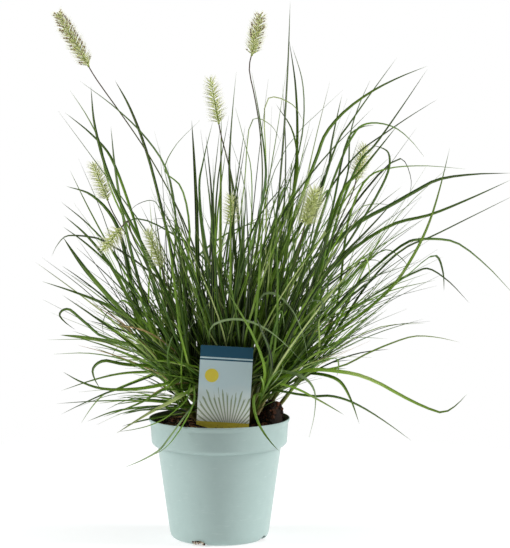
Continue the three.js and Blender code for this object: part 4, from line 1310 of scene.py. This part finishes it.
# Flower heads: a stalk tip with spikelets in a spiral, each with its bristles
brush = {
    "perMillimetre": 1.7, "bristle": 12, "bristleRadius": 0.24, "bristlesEach": 6, "spikelet": 6.2,
    "antherLength": 2.6, "antherRadius": 0.55, "anthersEach": 4,
    "openTilt": 70, "ripeTilt": 54, "tipTilt": 36,
    "green": rgb(192, 204, 120), "cream": rgb(238, 240, 192), "bristleTip": rgb(234, 236, 200),
    "anther": rgb(150, 122, 94), "rachis": rgb(150, 166, 84),
}
brushKind = {"rachis": 0, "spikelet": 1, "bristle": 2, "anther": 3}  # stored for the material


def makeBristleMaterial():
    b = brush
    material, tree, shader = newMaterial("flowerBristle", IOR=1.4)
    place = addNode(tree, "TexCoord").outputs["Object"]
    tone, kind = attribute(tree, "tone"), attribute(tree, "kind")
    grain = useGroup(tree, fineGrain, {"Vector": place, "Scale": 260.0, "Fineness": 0.5})
    creamy = calc(tree, "MULTIPLY_ADD", grain, 0.6, calc(tree, "MULTIPLY", tone, 0.4))
    spikelet = blend(tree, creamy, b["green"], b["cream"])
    young = blend(tree, calc(tree, "MULTIPLY_ADD", tone, 2.0, 0.1), b["green"], b["cream"])
    faded = calc(tree, "MULTIPLY_ADD", grain, 0.4, calc(tree, "SUBTRACT", tone, 0.1))
    bristle = blend(tree, faded, young, b["bristleTip"])
    colour = blend(tree, ofKind(tree, kind, brushKind["spikelet"]), b["rachis"], spikelet)
    colour = blend(tree, ofKind(tree, kind, brushKind["bristle"]), colour, bristle)
    colour = blend(tree, ofKind(tree, kind, brushKind["anther"]), colour, b["anther"])
    roughness = calc(tree, "MULTIPLY_ADD", grain, 0.3, 0.5)
    wire(tree, shader, colour, roughness, bump(tree, grain, 0.2, 0.0002))
    return material


def addSpike(bm, turned, lift, length, radius, tipRadius, kind):  # a thin cone that leans out from a height
    place = Matrix.Translation((0, 0, lift)) @ turned @ Matrix.Translation((0, 0, length / 2))
    made = bmesh.ops.create_cone(bm, cap_ends=True, segments=3, radius1=radius, radius2=tipRadius,
                                 depth=length, matrix=place)
    layer = bm.verts.layers.float["kind"]
    for vert in made["verts"]:
        vert[layer] = brushKind[kind]


def spikeletTemplate(name, anthers):  # stands along z, from the rachis outwards, in millimetres
    b = brush
    bm = bmesh.new()
    kind = bm.verts.layers.float.new("kind")
    body = Matrix.Translation((0, 0, b["spikelet"] / 2)) @ Matrix.Diagonal((1.05, 0.85, b["spikelet"] / 2, 1))
    bmesh.ops.create_icosphere(bm, subdivisions=1, radius=1, matrix=body)
    for vert in bm.verts:
        vert[kind] = brushKind["spikelet"]
    roll = dice(77)
    for i in range(b["bristlesEach"] + anthers):
        around = Matrix.Rotation(i * goldenAngle, 4, "Z")
        spread = roll(0.03, 0.3)
        if i < b["bristlesEach"]:
            length = b["bristle"] * roll(0.7, 1.05)
            turned = around @ Matrix.Rotation(spread, 4, "Y")
            radius = b["bristleRadius"]
            addSpike(bm, turned, b["spikelet"] * 0.25, length, radius, radius * 0.2, "bristle")
        else:
            turned = around @ Matrix.Rotation(spread * 2, 4, "Y")
            radius = b["antherRadius"]
            addSpike(bm, turned, b["spikelet"] * 1.15, b["antherLength"], radius, radius * 0.7, "anther")
    shade(bm, math.radians(100))
    return asTemplate(name, bm)


def makeHead(head, number, material, kinds):
    b = brush
    base, tip, axis = headAxis(head)
    length = distance(base, tip)
    bm = bmesh.new()
    roll = dice(9000 + number)
    core = [base, base + axis * length * 0.5, base + axis * (length - 2)]
    places = tubePlaces(kinds["core"], core, lambda part: 1.5 - part)
    stamp(bm, kinds["core"], places, 0.4, brushKind["rachis"])
    count = int(length * b["perMillimetre"] * head["fill"])
    for i in range(count):
        part = (i + 0.5) / count
        swell = math.sin(math.pi * (0.2 + 0.7 * part)) ** 0.5
        openTilt = b["openTilt"] + (b["ripeTilt"] - b["openTilt"]) * head["ripe"]
        tilt = math.radians(openTilt - (openTilt - b["tipTilt"]) * part ** 5 + roll(-5, 5))
        axes = frameAlong(axis, i * goldenAngle + roll(-0.1, 0.1))
        way = axis * math.cos(tilt) + axes[0] * math.sin(tilt)
        spot = base + axis * (1.5 + (length - 8) * part) + axes[0] * 0.8
        size = (0.5 + 0.5 * swell) * roll(0.9, 1.06) * head["breadth"]
        ripe = head["ripe"] * (0.35 + part) > roll(0.1, 1.1)
        template = kinds["ripe"] if ripe else kinds["green"]
        places = spot + (template["places"] * size) @ frameAlong(way, roll(0, 6.28))
        stamp(bm, template, places, roll(0.1, 1) * head["pale"])
    obj = newObject("flowerHead_%02d" % (number + 1), bm, material)
    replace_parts(obj, "flower_head_%02d" % (number + 1))


print("flower heads")
bristleMaterial = makeBristleMaterial()
headKinds = {
    "core": tubeTemplate("rachis", 6, 6),
    "green": spikeletTemplate("greenSpikelet", 0),
    "ripe": spikeletTemplate("ripeSpikelet", brush["anthersEach"]),
}
for number, head in enumerate(heads):
    makeHead(head, number, bristleMaterial, headKinds)


# Stage, lights and camera
stage = {
    "floor": rgb(180, 181, 181), "floorRadius": 0.75, "floorGlow": 1.34,  # glows, to look as white as the sky
    "sky": rgb(255, 255, 255), "skyStrength": 0.07,
    "camera": (0.043, -2.6, 0.55), "aim": (0.043, 0, 0.3195), "lens": 142.9,
    # softboxes: place, aim, width, height and power
    "left": ((-1.9, -0.15, 1.1), (0, 0, 0.25), 0.8, 1.4, 41),
    "right": ((1.9, -0.15, 1.1), (0, 0, 0.25), 0.8, 1.4, 48),
    "top": ((0.1, -0.2, 2.4), (0, 0, 0.3), 2.2, 2.2, 23),
}


def makeFloor():
    bm = bmesh.new()
    bmesh.ops.create_circle(bm, segments=96, radius=stage["floorRadius"], cap_ends=True)
    bmesh.ops.translate(bm, verts=bm.verts, vec=(0, 0, -0.0003))
    mesh = bpy.data.meshes.new("floor")
    bm.to_mesh(mesh)
    bm.free()
    floor = bpy.data.objects.new("floor", mesh)
    bpy.context.scene.collection.objects.link(floor)
    paper, *_ = newMaterial("floorPaper", Roughness=0.9, Base_Color=stage["floor"],
                            Emission_Color=stage["floor"], Emission_Strength=stage["floorGlow"])
    mesh.materials.append(paper)


def aimAt(obj, place, aim):
    obj.location = place
    obj.rotation_euler = (Vector(aim) - Vector(place)).to_track_quat("-Z", "Y").to_euler()
    bpy.context.scene.collection.objects.link(obj)


def addLight(side):
    place, aim, width, height, power = stage[side]
    light = bpy.data.lights.new(side + "Softbox", "AREA")
    light.shape = "RECTANGLE"
    light.size = width
    light.size_y = height
    light.energy = power
    lamp = bpy.data.objects.new(side + "Softbox", light)
    lamp.visible_camera = False
    aimAt(lamp, place, aim)


def makeSky():  # it looks white, and lights the plant less than it looks
    world = bpy.data.worlds.new("studio")
    world.use_nodes = True
    tree = world.node_tree
    sky = tree.nodes["Background"]
    sky.inputs["Color"].default_value = stage["sky"]
    seen = addNode(tree, "LightPath").outputs["Is Camera Ray"]
    strength = calc(tree, "MULTIPLY_ADD", seen, 1 - stage["skyStrength"], stage["skyStrength"])
    tree.links.new(strength, sky.inputs["Strength"])
    bpy.context.scene.world = world
    bpy.context.scene.view_settings.view_transform = "Standard"


def makeCamera():
    camera = bpy.data.objects.new("camera", bpy.data.cameras.new("camera"))
    camera.data.lens = stage["lens"]
    camera.data.sensor_width = 36
    camera.data.clip_end = 50
    aimAt(camera, stage["camera"], stage["aim"])
    bpy.context.scene.camera = camera


print("stage")
makeFloor()
for side in ("left", "right", "top"):
    addLight(side)
makeSky()
makeCamera()
